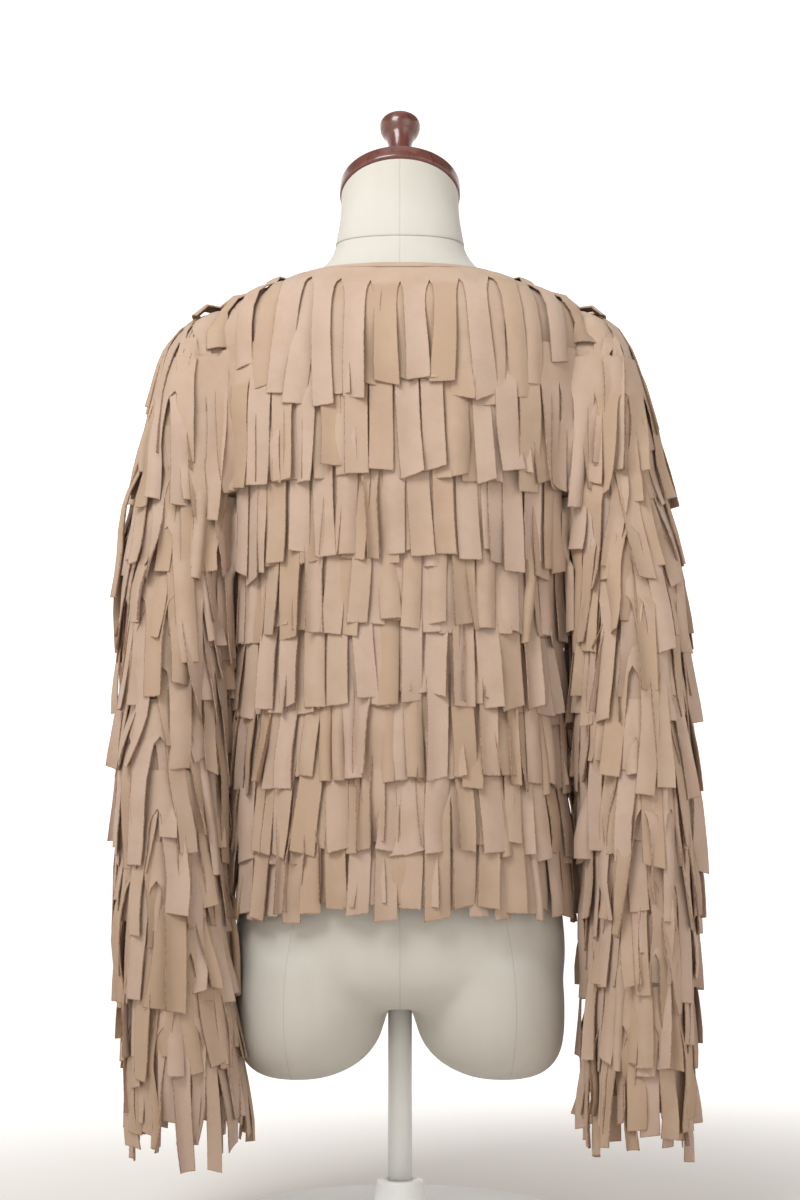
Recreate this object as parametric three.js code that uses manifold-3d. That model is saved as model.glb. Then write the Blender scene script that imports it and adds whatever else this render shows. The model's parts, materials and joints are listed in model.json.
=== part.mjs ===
// A long-sleeved pullover top covered in rows of cut-cloth fringe, worn by a limbless dress form on a short stand.
// Millimetres. +Z is up, -Y is the wearer's front, +X the wearer's left. The origin is on the floor, under the pole.
// Every cloth piece is a thin wall worked out from level sections: a height, a half width, and how far it reaches
// towards the back and the front.
import * as THREE from "three";
import { mergeVertices } from "three/addons/utils/BufferGeometryUtils.js";
import Module from "manifold-3d";

const wasm = await Module();
wasm.setup();

// ---------- driving sizes ----------
const CLOTH = 2; // wall thickness of panels, sleeves and fringe
const SEAM = 0.3; // half of the gap between two pieces at a seam
const BODY_POWER = 2.3; // how boxy the body's level sections are: 2 is an ellipse

const HEM_Z = 323;
const NECKLINE = { back: 874, side: 871.5, front: 846 };
const BINDING = { width: 6, thickness: 2.6 };

const ARMHOLE = { top: 842, bottom: 656, scoop: 18 };
const CUFF_Z = 128;

const FRINGE = { band: 15, strip: 100, clearance: 2.65, flare: 0.072, pressedFlare: 0.046, fill: 0.43, widest: 0.5, uneven: 0.03 };
const YOKE_FRINGE = { band: 12, strip: 92, strips: 16, clearance: 3.1, flare: 0.095 };
const BODY_FRINGE = { strips: 18, dip: 14 }; // the rows hang lower at the sides than at the centre by the dip
const BODY_TIERS = [
  // the height where the slits start at the centre; the open rows end at the armholes
  { z: 781, open: true },
  { z: 705, open: true },
  { z: 641, open: false },
  { z: 573, open: false },
  { z: 503, open: false },
  { z: 435, open: false },
  { z: 376, open: false },
];
const SLEEVE_FRINGE = { top: 822, spacing: 67.5, tiers: 11, headTiers: 3, strips: 6 };

const COLOUR = { cloth: 0xc9ab96, form: 0xe3e0d4, wood: 0x4a2a22, steel: 0xd9d8d4 };

// level sections of the garment's body, at the middle of its wall
const BODY_SECTIONS = [
  { z: 300, halfWidth: 151, back: 116, front: 113 },
  { z: 380, halfWidth: 148, back: 112, front: 114 },
  { z: 450, halfWidth: 145, back: 107, front: 118 },
  { z: 515, halfWidth: 143, back: 103, front: 124 },
  { z: 580, halfWidth: 144, back: 101, front: 133 },
  { z: 645, halfWidth: 149, back: 101, front: 143 },
  { z: 680, halfWidth: 155, back: 102, front: 142 },
  { z: 720, halfWidth: 164, back: 102, front: 136 },
  { z: 760, halfWidth: 171, back: 101, front: 128 },
  { z: 800, halfWidth: 175, back: 98, front: 117 },
  { z: 820, halfWidth: 175, back: 95, front: 110 },
  { z: 835, halfWidth: 170, back: 91, front: 104 },
  { z: 844, halfWidth: 161, back: 88, front: 100 },
  { z: 851, halfWidth: 149, back: 86, front: 97 },
  { z: 860, halfWidth: 126, back: 82, front: 93 },
  { z: 871, halfWidth: 96, back: 76, front: 88 },
  { z: 880, halfWidth: 78, back: 71, front: 84 },
];

// level sections of a sleeve, at the middle of its wall; between the armhole's top and bottom its inner edge is the armhole
const SLEEVE_SECTIONS = [
  { z: 100, outer: 260, inner: 161, middle: 42, halfDepth: 62 },
  { z: 200, outer: 266, inner: 168, middle: 45, halfDepth: 61 },
  { z: 300, outer: 269, inner: 171.2, middle: 42.5, halfDepth: 61 },
  { z: 400, outer: 268.5, inner: 169.5, middle: 38, halfDepth: 61 },
  { z: 470, outer: 265, inner: 166, middle: 30, halfDepth: 61 },
  { z: 530, outer: 262, inner: 165, middle: 22, halfDepth: 61 },
  { z: 580, outer: 257, inner: 163, middle: 13, halfDepth: 61 },
  { z: 620, outer: 250, inner: 160, middle: 4, halfDepth: 61 },
  { z: 656, outer: 242, inner: 155, middle: 0, halfDepth: 60 },
  { z: 690, outer: 237, inner: 156, middle: -3, halfDepth: 60 },
  { z: 720, outer: 232, inner: 157, middle: -5, halfDepth: 62 },
  { z: 760, outer: 225, inner: 159, middle: -6, halfDepth: 61 },
  { z: 800, outer: 215, inner: 160, middle: -5, halfDepth: 54 },
  { z: 820, outer: 204, inner: 164, middle: -4, halfDepth: 42 },
  { z: 832, outer: 191, inner: 165, middle: -3, halfDepth: 31 },
  { z: 838, outer: 179, inner: 164, middle: -2, halfDepth: 22 },
  { z: 841.5, outer: 167, inner: 163, middle: 0, halfDepth: 9 },
];

// level sections of the dress form, from the crotch to above the neck's slanted top
const FORM_SECTIONS = [
  { z: 200, halfWidth: 100, back: 66, front: 54 },
  { z: 206, halfWidth: 130, back: 86, front: 73 },
  { z: 216, halfWidth: 145, back: 99, front: 86 },
  { z: 230, halfWidth: 151, back: 107, front: 92 },
  { z: 250, halfWidth: 152, back: 110, front: 96 },
  { z: 290, halfWidth: 149, back: 109, front: 100 },
  { z: 340, halfWidth: 143, back: 104, front: 102 },
  { z: 400, halfWidth: 134, back: 93, front: 101 },
  { z: 450, halfWidth: 124, back: 80, front: 98 },
  { z: 515, halfWidth: 112, back: 68, front: 94 },
  { z: 570, halfWidth: 122, back: 76, front: 112 },
  { z: 610, halfWidth: 133, back: 84, front: 129 },
  { z: 645, halfWidth: 141, back: 89, front: 134 },
  { z: 680, halfWidth: 148, back: 92, front: 132 },
  { z: 720, halfWidth: 157, back: 94, front: 127 },
  { z: 760, halfWidth: 164, back: 94, front: 119 },
  { z: 800, halfWidth: 168, back: 91, front: 109 },
  { z: 824, halfWidth: 167, back: 87, front: 101 },
  { z: 840.6, halfWidth: 158, back: 83, front: 95 },
  { z: 849.8, halfWidth: 146, back: 80, front: 91 },
  { z: 858.9, halfWidth: 124, back: 76, front: 86 },
  { z: 869.6, halfWidth: 94, back: 70, front: 80 },
  { z: 877, halfWidth: 80, back: 65, front: 76 },
  { z: 887, halfWidth: 69, back: 59, front: 70 },
  { z: 898, halfWidth: 62, back: 53, front: 65 },
  { z: 920, halfWidth: 58, back: 45, front: 63 },
  { z: 955, halfWidth: 54.5, back: 36, front: 62 },
];
const NECK_TOP = { y: -13, z: 955, slope: 0.53 };
// level sections of one thigh stump
const STUMP_SECTIONS = [
  { z: 133, outer: 104, inner: 84, halfDepth: 10 },
  { z: 134.5, outer: 118, inner: 68, halfDepth: 32 },
  { z: 139, outer: 131, inner: 54, halfDepth: 53 },
  { z: 146, outer: 140, inner: 40, halfDepth: 67 },
  { z: 156, outer: 146.5, inner: 28, halfDepth: 78 },
  { z: 170, outer: 150, inner: 18.5, halfDepth: 86 },
  { z: 184, outer: 151, inner: 14, halfDepth: 91 },
  { z: 204, outer: 151, inner: 9, halfDepth: 94 },
  { z: 244, outer: 146, inner: 8, halfDepth: 94 },
];
const STUMP_MIDDLE_Y = 8;

const CAP = { radius: 57, thickness: 15, edge: 3.5 };
// radius and height of the knob's turned profile, from the cap up
const KNOB_PROFILE = [
  { radius: 17, height: 0 },
  { radius: 16, height: 5 },
  { radius: 12.5, height: 12 },
  { radius: 10.2, height: 25 },
  { radius: 10, height: 40 },
  { radius: 11.3, height: 51 },
  { radius: 13.6, height: 60 },
  { radius: 17, height: 66 },
  { radius: 19, height: 71 },
  { radius: 19.5, height: 76 },
  { radius: 18.3, height: 79.5 },
  { radius: 14, height: 81.5 },
  { radius: 5, height: 82.3 },
];

const POLE = { radius: 11, top: 262, foot: 6.3, clearance: 0.3 };
const BASE = { radius: 160, edge: 4, thickness: 9, bossRadius: 24, bossHeight: 40, socketFloor: 6 };

// ---------- curves through the tables ----------
// A smooth curve of one column against z that never overshoots the rows.
function curve(rows, column) {
  const z = rows.map((row) => row.z);
  const value = rows.map((row) => row[column]);
  const slope = z.slice(1).map((_, i) => (value[i + 1] - value[i]) / (z[i + 1] - z[i]));
  const tangent = value.map((_, i) => {
    if (i === 0) return slope[0];
    if (i === slope.length) return slope[i - 1];
    const product = slope[i - 1] * slope[i];
    return product > 0 ? (2 * product) / (slope[i - 1] + slope[i]) : 0;
  });
  return (height) => {
    const h = Math.min(Math.max(height, z[0]), z.at(-1));
    let i = 0;
    while (i < slope.length - 1 && h > z[i + 1]) i++;
    const span = z[i + 1] - z[i];
    const t = (h - z[i]) / span;
    const rise = t * t * (3 - 2 * t);
    const start = span * tangent[i] * t * (1 - t) * (1 - t);
    const end = span * tangent[i + 1] * t * t * (1 - t);
    return value[i] * (1 - rise) + value[i + 1] * rise + start - end;
  };
}

const columnsOf = (rows, names) => Object.fromEntries(names.map((name) => [name, curve(rows, name)]));
const body = columnsOf(BODY_SECTIONS, ["halfWidth", "back", "front"]);
const form = columnsOf(FORM_SECTIONS, ["halfWidth", "back", "front"]);
const sleeveTable = columnsOf(SLEEVE_SECTIONS, ["outer", "inner", "middle", "halfDepth"]);
const stump = columnsOf(STUMP_SECTIONS, ["outer", "inner", "halfDepth"]);

const signedPower = (value, power) => Math.sign(value) * Math.abs(value) ** power;

// A point of a level section: angle 0 is centre back, a quarter turn is the +X side, a half turn is centre front.
function sectionPoint(shape, angle, z) {
  const across = signedPower(Math.sin(angle), 2 / BODY_POWER);
  const along = signedPower(Math.cos(angle), 2 / BODY_POWER);
  const reach = along > 0 ? shape.back(z) : shape.front(z);
  return new THREE.Vector3(shape.halfWidth(z) * across, reach * along, z);
}

// How far down the armhole a height is, from 0 at its top to 1 at its bottom.
const armholeShare = (z) => (ARMHOLE.top - z) / (ARMHOLE.top - ARMHOLE.bottom);
const besideArmhole = (z) => armholeShare(z) > 0 && armholeShare(z) < 1;

// The angle at which a body panel ends at this height: the side or shoulder seam, or the armhole's edge.
function panelEdge(z, toBack) {
  const reach = toBack ? body.back(z) : body.front(z);
  const seam = Math.acos((SEAM / reach) ** (BODY_POWER / 2));
  if (!besideArmhole(z)) return seam;
  const scoop = ARMHOLE.scoop * Math.sin(Math.PI * armholeShare(z)) ** 0.6;
  const share = (body.halfWidth(z) - scoop) / body.halfWidth(z);
  return Math.min(seam, Math.asin(share ** (BODY_POWER / 2)));
}

// The level section of a sleeve: half an ellipse outside, half of another one inside. Where it meets the armhole
// the inner half is open, and its ends lie along the armhole's two edges.
function sleeveSection(z) {
  const outer = sleeveTable.outer(z);
  const x = (outer + sleeveTable.inner(z)) / 2;
  const outerHalf = outer - x;
  if (!besideArmhole(z)) {
    return { x, y: sleeveTable.middle(z), outerHalf, innerHalf: outerHalf, halfDepth: sleeveTable.halfDepth(z), open: Math.PI };
  }
  const backEdge = sectionPoint(body, panelEdge(z, true), z);
  const frontEdge = sectionPoint(body, Math.PI - panelEdge(z, false), z);
  const underarm = THREE.MathUtils.smoothstep(armholeShare(z), 0.75, 1);
  const edgeX = backEdge.x + 6 * SEAM + CLOTH * underarm;
  const halfEdge = (backEdge.y - frontEdge.y) / 2;
  const halfDepth = Math.max(sleeveTable.halfDepth(z), halfEdge * 1.03);
  const open = Math.PI - Math.asin(halfEdge / halfDepth);
  const y = THREE.MathUtils.lerp((backEdge.y + frontEdge.y) / 2, sleeveTable.middle(z), underarm ** 2);
  return { x, y, outerHalf, innerHalf: (edgeX - x) / Math.cos(open), halfDepth, open };
}

// ---------- the surfaces that cloth lies on ----------
// Each gives its point for a turn and a height, and the middle of its level section, which is on its inner side.
const bodySurface = {
  at: (turn, z) => sectionPoint(body, turn, z),
  middle: (z) => new THREE.Vector3(0, 0, z),
};
const sleeveSurface = (side) => ({
  at: (turn, z) => {
    const s = sleeveSection(z);
    const across = Math.cos(turn) * (Math.cos(turn) > 0 ? s.outerHalf : s.innerHalf);
    return new THREE.Vector3(side * (s.x + across), s.y + s.halfDepth * Math.sin(turn), z);
  },
  middle: (z) => new THREE.Vector3(side * sleeveSection(z).x, sleeveSection(z).y, z),
});

function outwardOf(surface, turn, z) {
  const step = 0.5;
  const round = surface.at(turn + 0.01, z).sub(surface.at(turn - 0.01, z));
  const down = surface.at(turn, z - step).sub(surface.at(turn, z));
  const outward = round.cross(down).normalize();
  return outward.dot(surface.at(turn, z).sub(surface.middle(z))) < 0 ? outward.negate() : outward;
}

// ---------- thin walls ----------
// Gives a sheet of four-sided faces a thickness: both sides are moved out along the corner normals, and rims close it.
function thicken(points, faces, thickness) {
  const normals = points.map(() => new THREE.Vector3());
  for (const [a, b, c, d] of faces) {
    const n = points[c].clone().sub(points[a]).cross(points[d].clone().sub(points[b]));
    for (const corner of [a, b, c, d]) normals[corner].add(n);
  }
  const position = [];
  for (const side of [0.5, -0.5]) {
    points.forEach((p, i) => position.push(...p.clone().addScaledVector(normals[i].normalize(), side * thickness)));
  }
  const back = points.length;
  const index = [];
  const edges = new Map();
  for (const [a, b, c, d] of faces) {
    index.push(a, b, c, a, c, d);
    index.push(back + a, back + c, back + b, back + a, back + d, back + c);
    for (const [from, to] of [[a, b], [b, c], [c, d], [d, a]]) {
      if (!edges.delete(to + ":" + from)) edges.set(from + ":" + to, [from, to]);
    }
  }
  for (const [from, to] of edges.values()) index.push(to, from, back + from, to, back + from, back + to);
  const geometry = new THREE.BufferGeometry();
  geometry.setAttribute("position", new THREE.Float32BufferAttribute(position, 3));
  geometry.setIndex(index);
  return geometry;
}

// A sheet over a grid: at(column, row) gives its points, and a closed one joins its last column to its first.
function gridSheet(columns, rows, closed, at, thickness) {
  const points = [];
  for (let r = 0; r < rows; r++) for (let c = 0; c < columns; c++) points.push(at(c, r));
  const faces = [];
  for (let r = 0; r < rows - 1; r++) {
    for (let c = 0; c < columns - (closed ? 0 : 1); c++) {
      const next = (c + 1) % columns;
      faces.push([r * columns + c, r * columns + next, (r + 1) * columns + next, (r + 1) * columns + c]);
    }
  }
  return thicken(points, faces, thickness);
}

// ---------- the garment's panels ----------
const necklineZ = (angle) => {
  const c = Math.cos(angle);
  return NECKLINE.side + (c > 0 ? NECKLINE.back - NECKLINE.side : NECKLINE.front - NECKLINE.side) * c * c;
};

// The height reached by going down the cloth from the neckline by a length, straight below this angle.
function belowNeckline(angle, length) {
  const step = 0.1;
  let z = necklineZ(angle);
  let gone = 0;
  let here = sectionPoint(body, angle, z);
  while (gone < length) {
    z -= step;
    const next = sectionPoint(body, angle, z);
    gone += next.distanceTo(here);
    here = next;
  }
  return z;
}

const PANEL_ROWS = [HEM_Z, 390, 450, 510, 570, 620, ARMHOLE.bottom, 664, 680, 704, 735, 768, 800, 822, 835, ARMHOLE.top];
const SHOULDER_ROWS = 3; // above the armhole, up to the binding
const PANEL_COLUMNS = 15;

function panel(toBack) {
  return gridSheet(PANEL_COLUMNS, PANEL_ROWS.length + SHOULDER_ROWS, false, (c, r) => {
    const share = (2 * c) / (PANEL_COLUMNS - 1) - 1;
    const turn = (z) => (toBack ? share * panelEdge(z, true) : Math.PI - share * panelEdge(z, false));
    const top = belowNeckline(turn(ARMHOLE.top + 1), BINDING.width + 3.5 * SEAM);
    const up = Math.max(r - PANEL_ROWS.length + 1, 0) / SHOULDER_ROWS;
    // below the armhole's top the rows are level; at centre front, where the neckline is lower, they close up under it
    const z = up > 0 ? ARMHOLE.top + (top - ARMHOLE.top) * up : PANEL_ROWS[r];
    const lowest = top - 2.5 * (PANEL_ROWS.length + SHOULDER_ROWS - 1 - r);
    const level = Math.min(z, lowest);
    return sectionPoint(body, turn(level), level);
  }, CLOTH);
}

function neckBinding() {
  const columns = 2 * (PANEL_COLUMNS - 1);
  return gridSheet(columns, 2, true, (c, r) => {
    const angle = (2 * Math.PI * c) / columns;
    return sectionPoint(body, angle, r === 0 ? belowNeckline(angle, BINDING.width) : necklineZ(angle));
  }, BINDING.thickness);
}

const SLEEVE_HEAD_ROWS = [ARMHOLE.top - 1.5, 836, 826, 808, 780, 745, 705, 675];
const SLEEVE_TUBE_ROWS = [ARMHOLE.bottom, 610, 560, 500, 430, 350, 270, 190, CUFF_Z];
const SLEEVE_COLUMNS = 18;

// The head is open towards the armhole and the tube below it is closed, so the head's last column has points of its own.
function sleeve(side) {
  const surface = sleeveSurface(side);
  const points = [];
  const faces = [];
  const heights = [...SLEEVE_HEAD_ROWS, ...SLEEVE_TUBE_ROWS];
  const index = [];
  heights.forEach((z) => {
    const head = z > ARMHOLE.bottom;
    const open = head ? sleeveSection(z).open : Math.PI;
    const row = [];
    for (let c = 0; c <= SLEEVE_COLUMNS; c++) {
      if (c === SLEEVE_COLUMNS && !head) {
        row.push(row[0]);
        continue;
      }
      row.push(points.length);
      points.push(surface.at(((2 * c) / SLEEVE_COLUMNS - 1) * open, z));
    }
    index.push(row);
  });
  for (let r = 0; r < heights.length - 1; r++) {
    for (let c = 0; c < SLEEVE_COLUMNS; c++) {
      const face = [index[r][c], index[r + 1][c], index[r + 1][c + 1], index[r][c + 1]];
      faces.push(side > 0 ? face : face.reverse());
    }
  }
  return thicken(points, faces, CLOTH);
}

// ---------- fringe ----------
const DOWN = new THREE.Vector3(0, 0, -1);

// One tier of fringe: a narrow backing with strips below it, all one piece. Each strip is a list of stations,
// a centre and an outward direction, from the backing's top to the tip.
function fringeTier(strips, closed) {
  const count = strips.length;
  const rows = strips[0].length;
  const beside = (i, by) => (closed ? (i + by + count) % count : Math.min(Math.max(i + by, 0), count - 1));
  const corners = strips.map((strip, i) => strip.map((station, k) => {
    const gaps = [-1, 1].filter((by) => beside(i, by) !== i)
      .map((by) => strips[beside(i, by)][k].centre.distanceTo(station.centre));
    const along = strip[Math.min(k + 1, rows - 1)].centre.clone().sub(strip[Math.max(k - 1, 0)].centre);
    const atRoot = [-1, 1].filter((by) => beside(i, by) !== i)
      .map((by) => strips[beside(i, by)][1].centre.distanceTo(strip[1].centre));
    const half = Math.min(FRINGE.fill * Math.min(...gaps), FRINGE.widest * Math.min(...atRoot));
    const across = station.outward.clone().cross(along).normalize().multiplyScalar(half);
    return [station.centre.clone().sub(across), station.centre.clone().add(across)];
  }));
  const toNext = strips[beside(0, 1)][0].centre.clone().sub(strips[0][0].centre);
  if (corners[0][0][1].clone().sub(corners[0][0][0]).dot(toNext) < 0) strips.reverse() && corners.reverse();
  const index = (i, k, far) => 2 * (i * rows + k) + far;
  const faces = [];
  for (let i = 0; i < count; i++) {
    for (let k = 0; k < rows - 1; k++) faces.push([index(i, k, 0), index(i, k + 1, 0), index(i, k + 1, 1), index(i, k, 1)]);
    const next = beside(i, 1);
    if (next !== i) faces.push([index(i, 0, 1), index(i, 1, 1), index(next, 1, 0), index(next, 0, 0)]);
  }
  return thicken(corners.flat(2), faces, CLOTH);
}

const uneven = (i) => 1 + FRINGE.uneven * Math.cos(2.4 * i);
const stripLengths = ({ band, strip }, shares, i) => [0, band, ...shares.map((share) => band + share * strip * uneven(i))];

// Lays a strip on a surface, straight down from its root. It stands off the cloth more towards its tip,
// and less where it is pressed between the body and a sleeve.
function layStrip(surface, turn, top, lengths, pressed) {
  const flare = THREE.MathUtils.lerp(FRINGE.flare, FRINGE.pressedFlare, pressed);
  let z = top;
  let gone = 0;
  return lengths.map((length) => {
    while (gone < length) {
      gone += surface.at(turn, z).distanceTo(surface.at(turn, z - 0.5));
      z -= 0.5;
    }
    const outward = outwardOf(surface, turn, z);
    return { centre: surface.at(turn, z).addScaledVector(outward, FRINGE.clearance + flare * length), outward };
  });
}

// The turns of points at equal distances round a level line of a surface, half a space away from its start.
function evenTurns(surface, z, count) {
  const dense = 720;
  const run = [0];
  for (let i = 1; i <= dense; i++) {
    const [from, to] = [i - 1, i].map((j) => surface.at((2 * Math.PI * j) / dense, z));
    run.push(run[i - 1] + from.distanceTo(to));
  }
  return Array.from({ length: count }, (_, i) => {
    const target = (run[dense] * (i + 0.5)) / count;
    const j = run.findIndex((gone) => gone >= target);
    return (2 * Math.PI * (j - (run[j] - target) / (run[j] - run[j - 1]))) / dense;
  });
}

const BODY_TURNS = evenTurns(bodySurface, 500, BODY_FRINGE.strips);

function bodyTier({ z, open }, facing) {
  // the open rows keep the strips between the armholes, on the side that they face; facing is 1 at the back
  const inReach = (turn) => facing * Math.cos(turn) > 0 && Math.abs(Math.sin(turn)) < 0.82;
  const turns = open ? BODY_TURNS.filter(inReach) : BODY_TURNS;
  if (open && facing > 0) turns.sort((a, b) => Math.sin(a) - Math.sin(b));
  const strips = turns.map((turn, i) => {
    const side = Math.sin(turn) ** 2;
    const top = z + FRINGE.band - BODY_FRINGE.dip * side;
    return layStrip(bodySurface, turn, top, stripLengths(FRINGE, [0.5, 1], i), open ? 0 : side ** 4);
  });
  return fringeTier(strips, !open);
}

function sleeveTier(side, tier) {
  const head = tier < SLEEVE_FRINGE.headTiers;
  const top = SLEEVE_FRINGE.top - SLEEVE_FRINGE.spacing * tier + FRINGE.band;
  const all = Array.from({ length: SLEEVE_FRINGE.strips }, (_, i) => (2 * Math.PI * i) / SLEEVE_FRINGE.strips);
  const turns = head ? [-all[1], 0, all[1]] : all;
  const strips = turns.map((turn, i) => {
    const pressed = Math.max(-Math.cos(turn), 0) ** 2;
    const shares = head ? [0.22, 0.46, 0.72, 1] : [0.5, 1];
    return layStrip(sleeveSurface(side), turn, top, stripLengths(FRINGE, shares, i), pressed);
  });
  return fringeTier(strips, !head);
}

// The top row hangs from the neckline over the shoulders and the sleeves' heads. Each of its strips goes straight
// down, and the nearest cloth under it pushes it out.
function yokeTier() {
  const under = [];
  const sample = (surface, turns, heights, spread) => {
    for (const z of heights) {
      for (let i = 0; i < turns; i++) {
        const turn = spread(i / turns, z);
        under.push({ point: surface.at(turn, z), outward: outwardOf(surface, turn, z) });
      }
    }
  };
  const levels = (low, high, step) => Array.from({ length: Math.floor((high - low) / step) }, (_, i) => high - i * step);
  sample(bodySurface, 150, levels(740, 879, 2.5), (share) => 2 * Math.PI * share);
  for (const side of [1, -1]) {
    sample(sleeveSurface(side), 50, levels(740, ARMHOLE.top - 1, 2.5), (share, z) => (2 * share - 1) * sleeveSection(z).open);
  }
  const nearest = (p) => under.reduce((best, other) =>
    (other.point.distanceToSquared(p) < best.point.distanceToSquared(p) ? other : best));
  const settle = (p, clearance) => {
    const touch = nearest(p);
    const short = clearance - p.clone().sub(touch.point).dot(touch.outward);
    if (short > 0) p.addScaledVector(touch.outward, short);
    return touch.outward.clone();
  };
  const strips = Array.from({ length: YOKE_FRINGE.strips }, (_, i) => {
    const turn = (2 * Math.PI * i) / YOKE_FRINGE.strips;
    const p = bodySurface.at(turn, belowNeckline(turn, BINDING.width + 4 * SEAM + 1));
    let gone = 0;
    let outward = settle(p, YOKE_FRINGE.clearance);
    return stripLengths(YOKE_FRINGE, [0.25, 0.5, 0.75, 1], i).map((length) => {
      while (gone < length) {
        const before = p.clone();
        p.addScaledVector(DOWN, 1.5);
        outward = settle(p, YOKE_FRINGE.clearance + YOKE_FRINGE.flare * gone);
        gone += p.distanceTo(before);
      }
      return { centre: p.clone(), outward };
    });
  });
  return fringeTier(strips, true);
}

// ---------- the dress form and its stand ----------
function solidFrom(geometry) {
  const bare = new THREE.BufferGeometry().setAttribute("position", geometry.getAttribute("position"));
  if (geometry.index) bare.setIndex(geometry.index);
  const merged = mergeVertices(bare, 1e-4);
  return new wasm.Manifold(new wasm.Mesh({
    numProp: 3,
    vertProperties: new Float32Array(merged.attributes.position.array),
    triVerts: new Uint32Array(merged.index.array),
  }));
}

function geometryFrom(solid) {
  const mesh = solid.getMesh();
  const geometry = new THREE.BufferGeometry();
  geometry.setAttribute("position", new THREE.Float32BufferAttribute(mesh.vertProperties, 3));
  geometry.setIndex([...mesh.triVerts]);
  return geometry;
}

// A closed solid through rings of points, lowest first, with a point in the middle of each end.
function loft(rings) {
  const columns = rings[0].length;
  const position = rings.flat().flatMap((p) => [p.x, p.y, p.z]);
  const middle = (ring) => ring.reduce((sum, p) => sum.add(p), new THREE.Vector3()).divideScalar(columns);
  position.push(...middle(rings[0]), ...middle(rings.at(-1)));
  const low = rings.length * columns;
  const index = [];
  for (let c = 0; c < columns; c++) {
    const next = (c + 1) % columns;
    for (let r = 0; r < rings.length - 1; r++) {
      const [a, b] = [r * columns + c, r * columns + next];
      index.push(a, b, b + columns, a, b + columns, a + columns);
    }
    index.push(low, next, c);
    index.push(low + 1, (rings.length - 1) * columns + c, (rings.length - 1) * columns + next);
  }
  const geometry = new THREE.BufferGeometry();
  geometry.setAttribute("position", new THREE.Float32BufferAttribute(position, 3));
  geometry.setIndex(index);
  return geometry;
}

const FORM_ROWS = [200, 206, 216, 230, 252, 290, 330, 370, 410, 450, 485, 515, 545, 575, 605, 635, 665, 700, 735, 770, 800, 824,
  840, 849, 858, 864, 870, 877, 887, 900, 914];
const FORM_COLUMNS = 26;
const aroundForm = (count, at) => Array.from({ length: count }, (_, c) => at((-2 * Math.PI * c) / count));

function torso() {
  const rings = FORM_ROWS.map((z) => aroundForm(FORM_COLUMNS, (angle) => sectionPoint(form, angle, z)));
  rings.push(aroundForm(FORM_COLUMNS, (angle) => {
    const p = sectionPoint(form, angle, NECK_TOP.z);
    p.z = NECK_TOP.z + NECK_TOP.slope * (p.y - NECK_TOP.y);
    return p;
  }));
  return loft(rings);
}

function stumpSolid(side) {
  const columns = 24;
  const rings = [133, 135, 140, 148, 158, 172, 186, 204, 244].map((z) => {
    const halfWidth = (stump.outer(z) - stump.inner(z)) / 2;
    const x = side * (stump.inner(z) + halfWidth);
    return aroundForm(columns, (angle) => new THREE.Vector3(
      x + halfWidth * Math.sin(angle), STUMP_MIDDLE_Y + stump.halfDepth(z) * Math.cos(angle), z));
  });
  return loft(rings);
}

function dressForm() {
  const bore = new THREE.CylinderGeometry(POLE.radius + POLE.clearance, POLE.radius + POLE.clearance, 200, 24)
    .rotateX(Math.PI / 2).translate(0, 0, POLE.top + POLE.clearance - 100);
  return geometryFrom(solidFrom(torso()).add(solidFrom(stumpSolid(1))).add(solidFrom(stumpSolid(-1)))
    .subtract(solidFrom(bore)));
}

// A turned solid that stands on +Z, from rows of radius and height.
const turned = (profile, segments) =>
  new THREE.LatheGeometry(profile.map(([radius, height]) => new THREE.Vector2(radius, height)), segments).rotateX(Math.PI / 2);

function cap() {
  const { radius, thickness, edge } = CAP;
  const profile = [[0, 0], [radius - edge, 0], [radius, edge], [radius, thickness - edge], [radius - edge, thickness], [0, thickness]];
  return turned(profile, 40);
}

function knob() {
  const rows = KNOB_PROFILE.map((row) => [row.radius, row.height]);
  return turned([[0, 0], ...rows, [0, rows.at(-1)[1] + 0.4]], 24);
}

function standBase() {
  const socket = POLE.radius + POLE.clearance;
  const { radius, edge, thickness, bossRadius, bossHeight, socketFloor } = BASE;
  return turned([[0, 0], [radius, 0], [radius, edge], [radius - edge, thickness - 1], [bossRadius + 4, thickness + 2],
    [bossRadius, thickness + 6], [bossRadius - 3, bossHeight], [socket, bossHeight], [socket, socketFloor], [0, socketFloor]], 48);
}

const standPole = () => new THREE.CylinderGeometry(POLE.radius, POLE.radius, POLE.top - POLE.foot, 24)
  .rotateX(Math.PI / 2).translate(0, 0, (POLE.top + POLE.foot) / 2);

// ---------- the whole part ----------
const material = (color, roughness, metalness = 0) => new THREE.MeshStandardMaterial({ color, roughness, metalness });
const MATERIAL = {
  cloth: material(COLOUR.cloth, 0.85),
  form: material(COLOUR.form, 0.9),
  wood: material(COLOUR.wood, 0.3),
  steel: material(COLOUR.steel, 0.4, 0.3),
};

const part = new THREE.Group();
function add(name, geometry, finish, parent = part) {
  const mesh = new THREE.Mesh(geometry, finish);
  mesh.name = name;
  parent.add(mesh);
  return mesh;
}

add("dress_form", dressForm(), MATERIAL.form);
add("stand_pole", standPole(), MATERIAL.steel);
add("stand_base", standBase(), MATERIAL.steel);

const neckTop = new THREE.Group();
neckTop.position.set(0, NECK_TOP.y, NECK_TOP.z);
neckTop.rotation.x = Math.atan(NECK_TOP.slope);
part.add(neckTop);
add("neck_cap", cap(), MATERIAL.wood, neckTop).position.z = SEAM;
add("neck_knob", knob(), MATERIAL.wood, neckTop).position.z = CAP.thickness + 2 * SEAM;

add("back_panel", panel(true), MATERIAL.cloth);
add("front_panel", panel(false), MATERIAL.cloth);
add("neck_binding", neckBinding(), MATERIAL.cloth);

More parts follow.
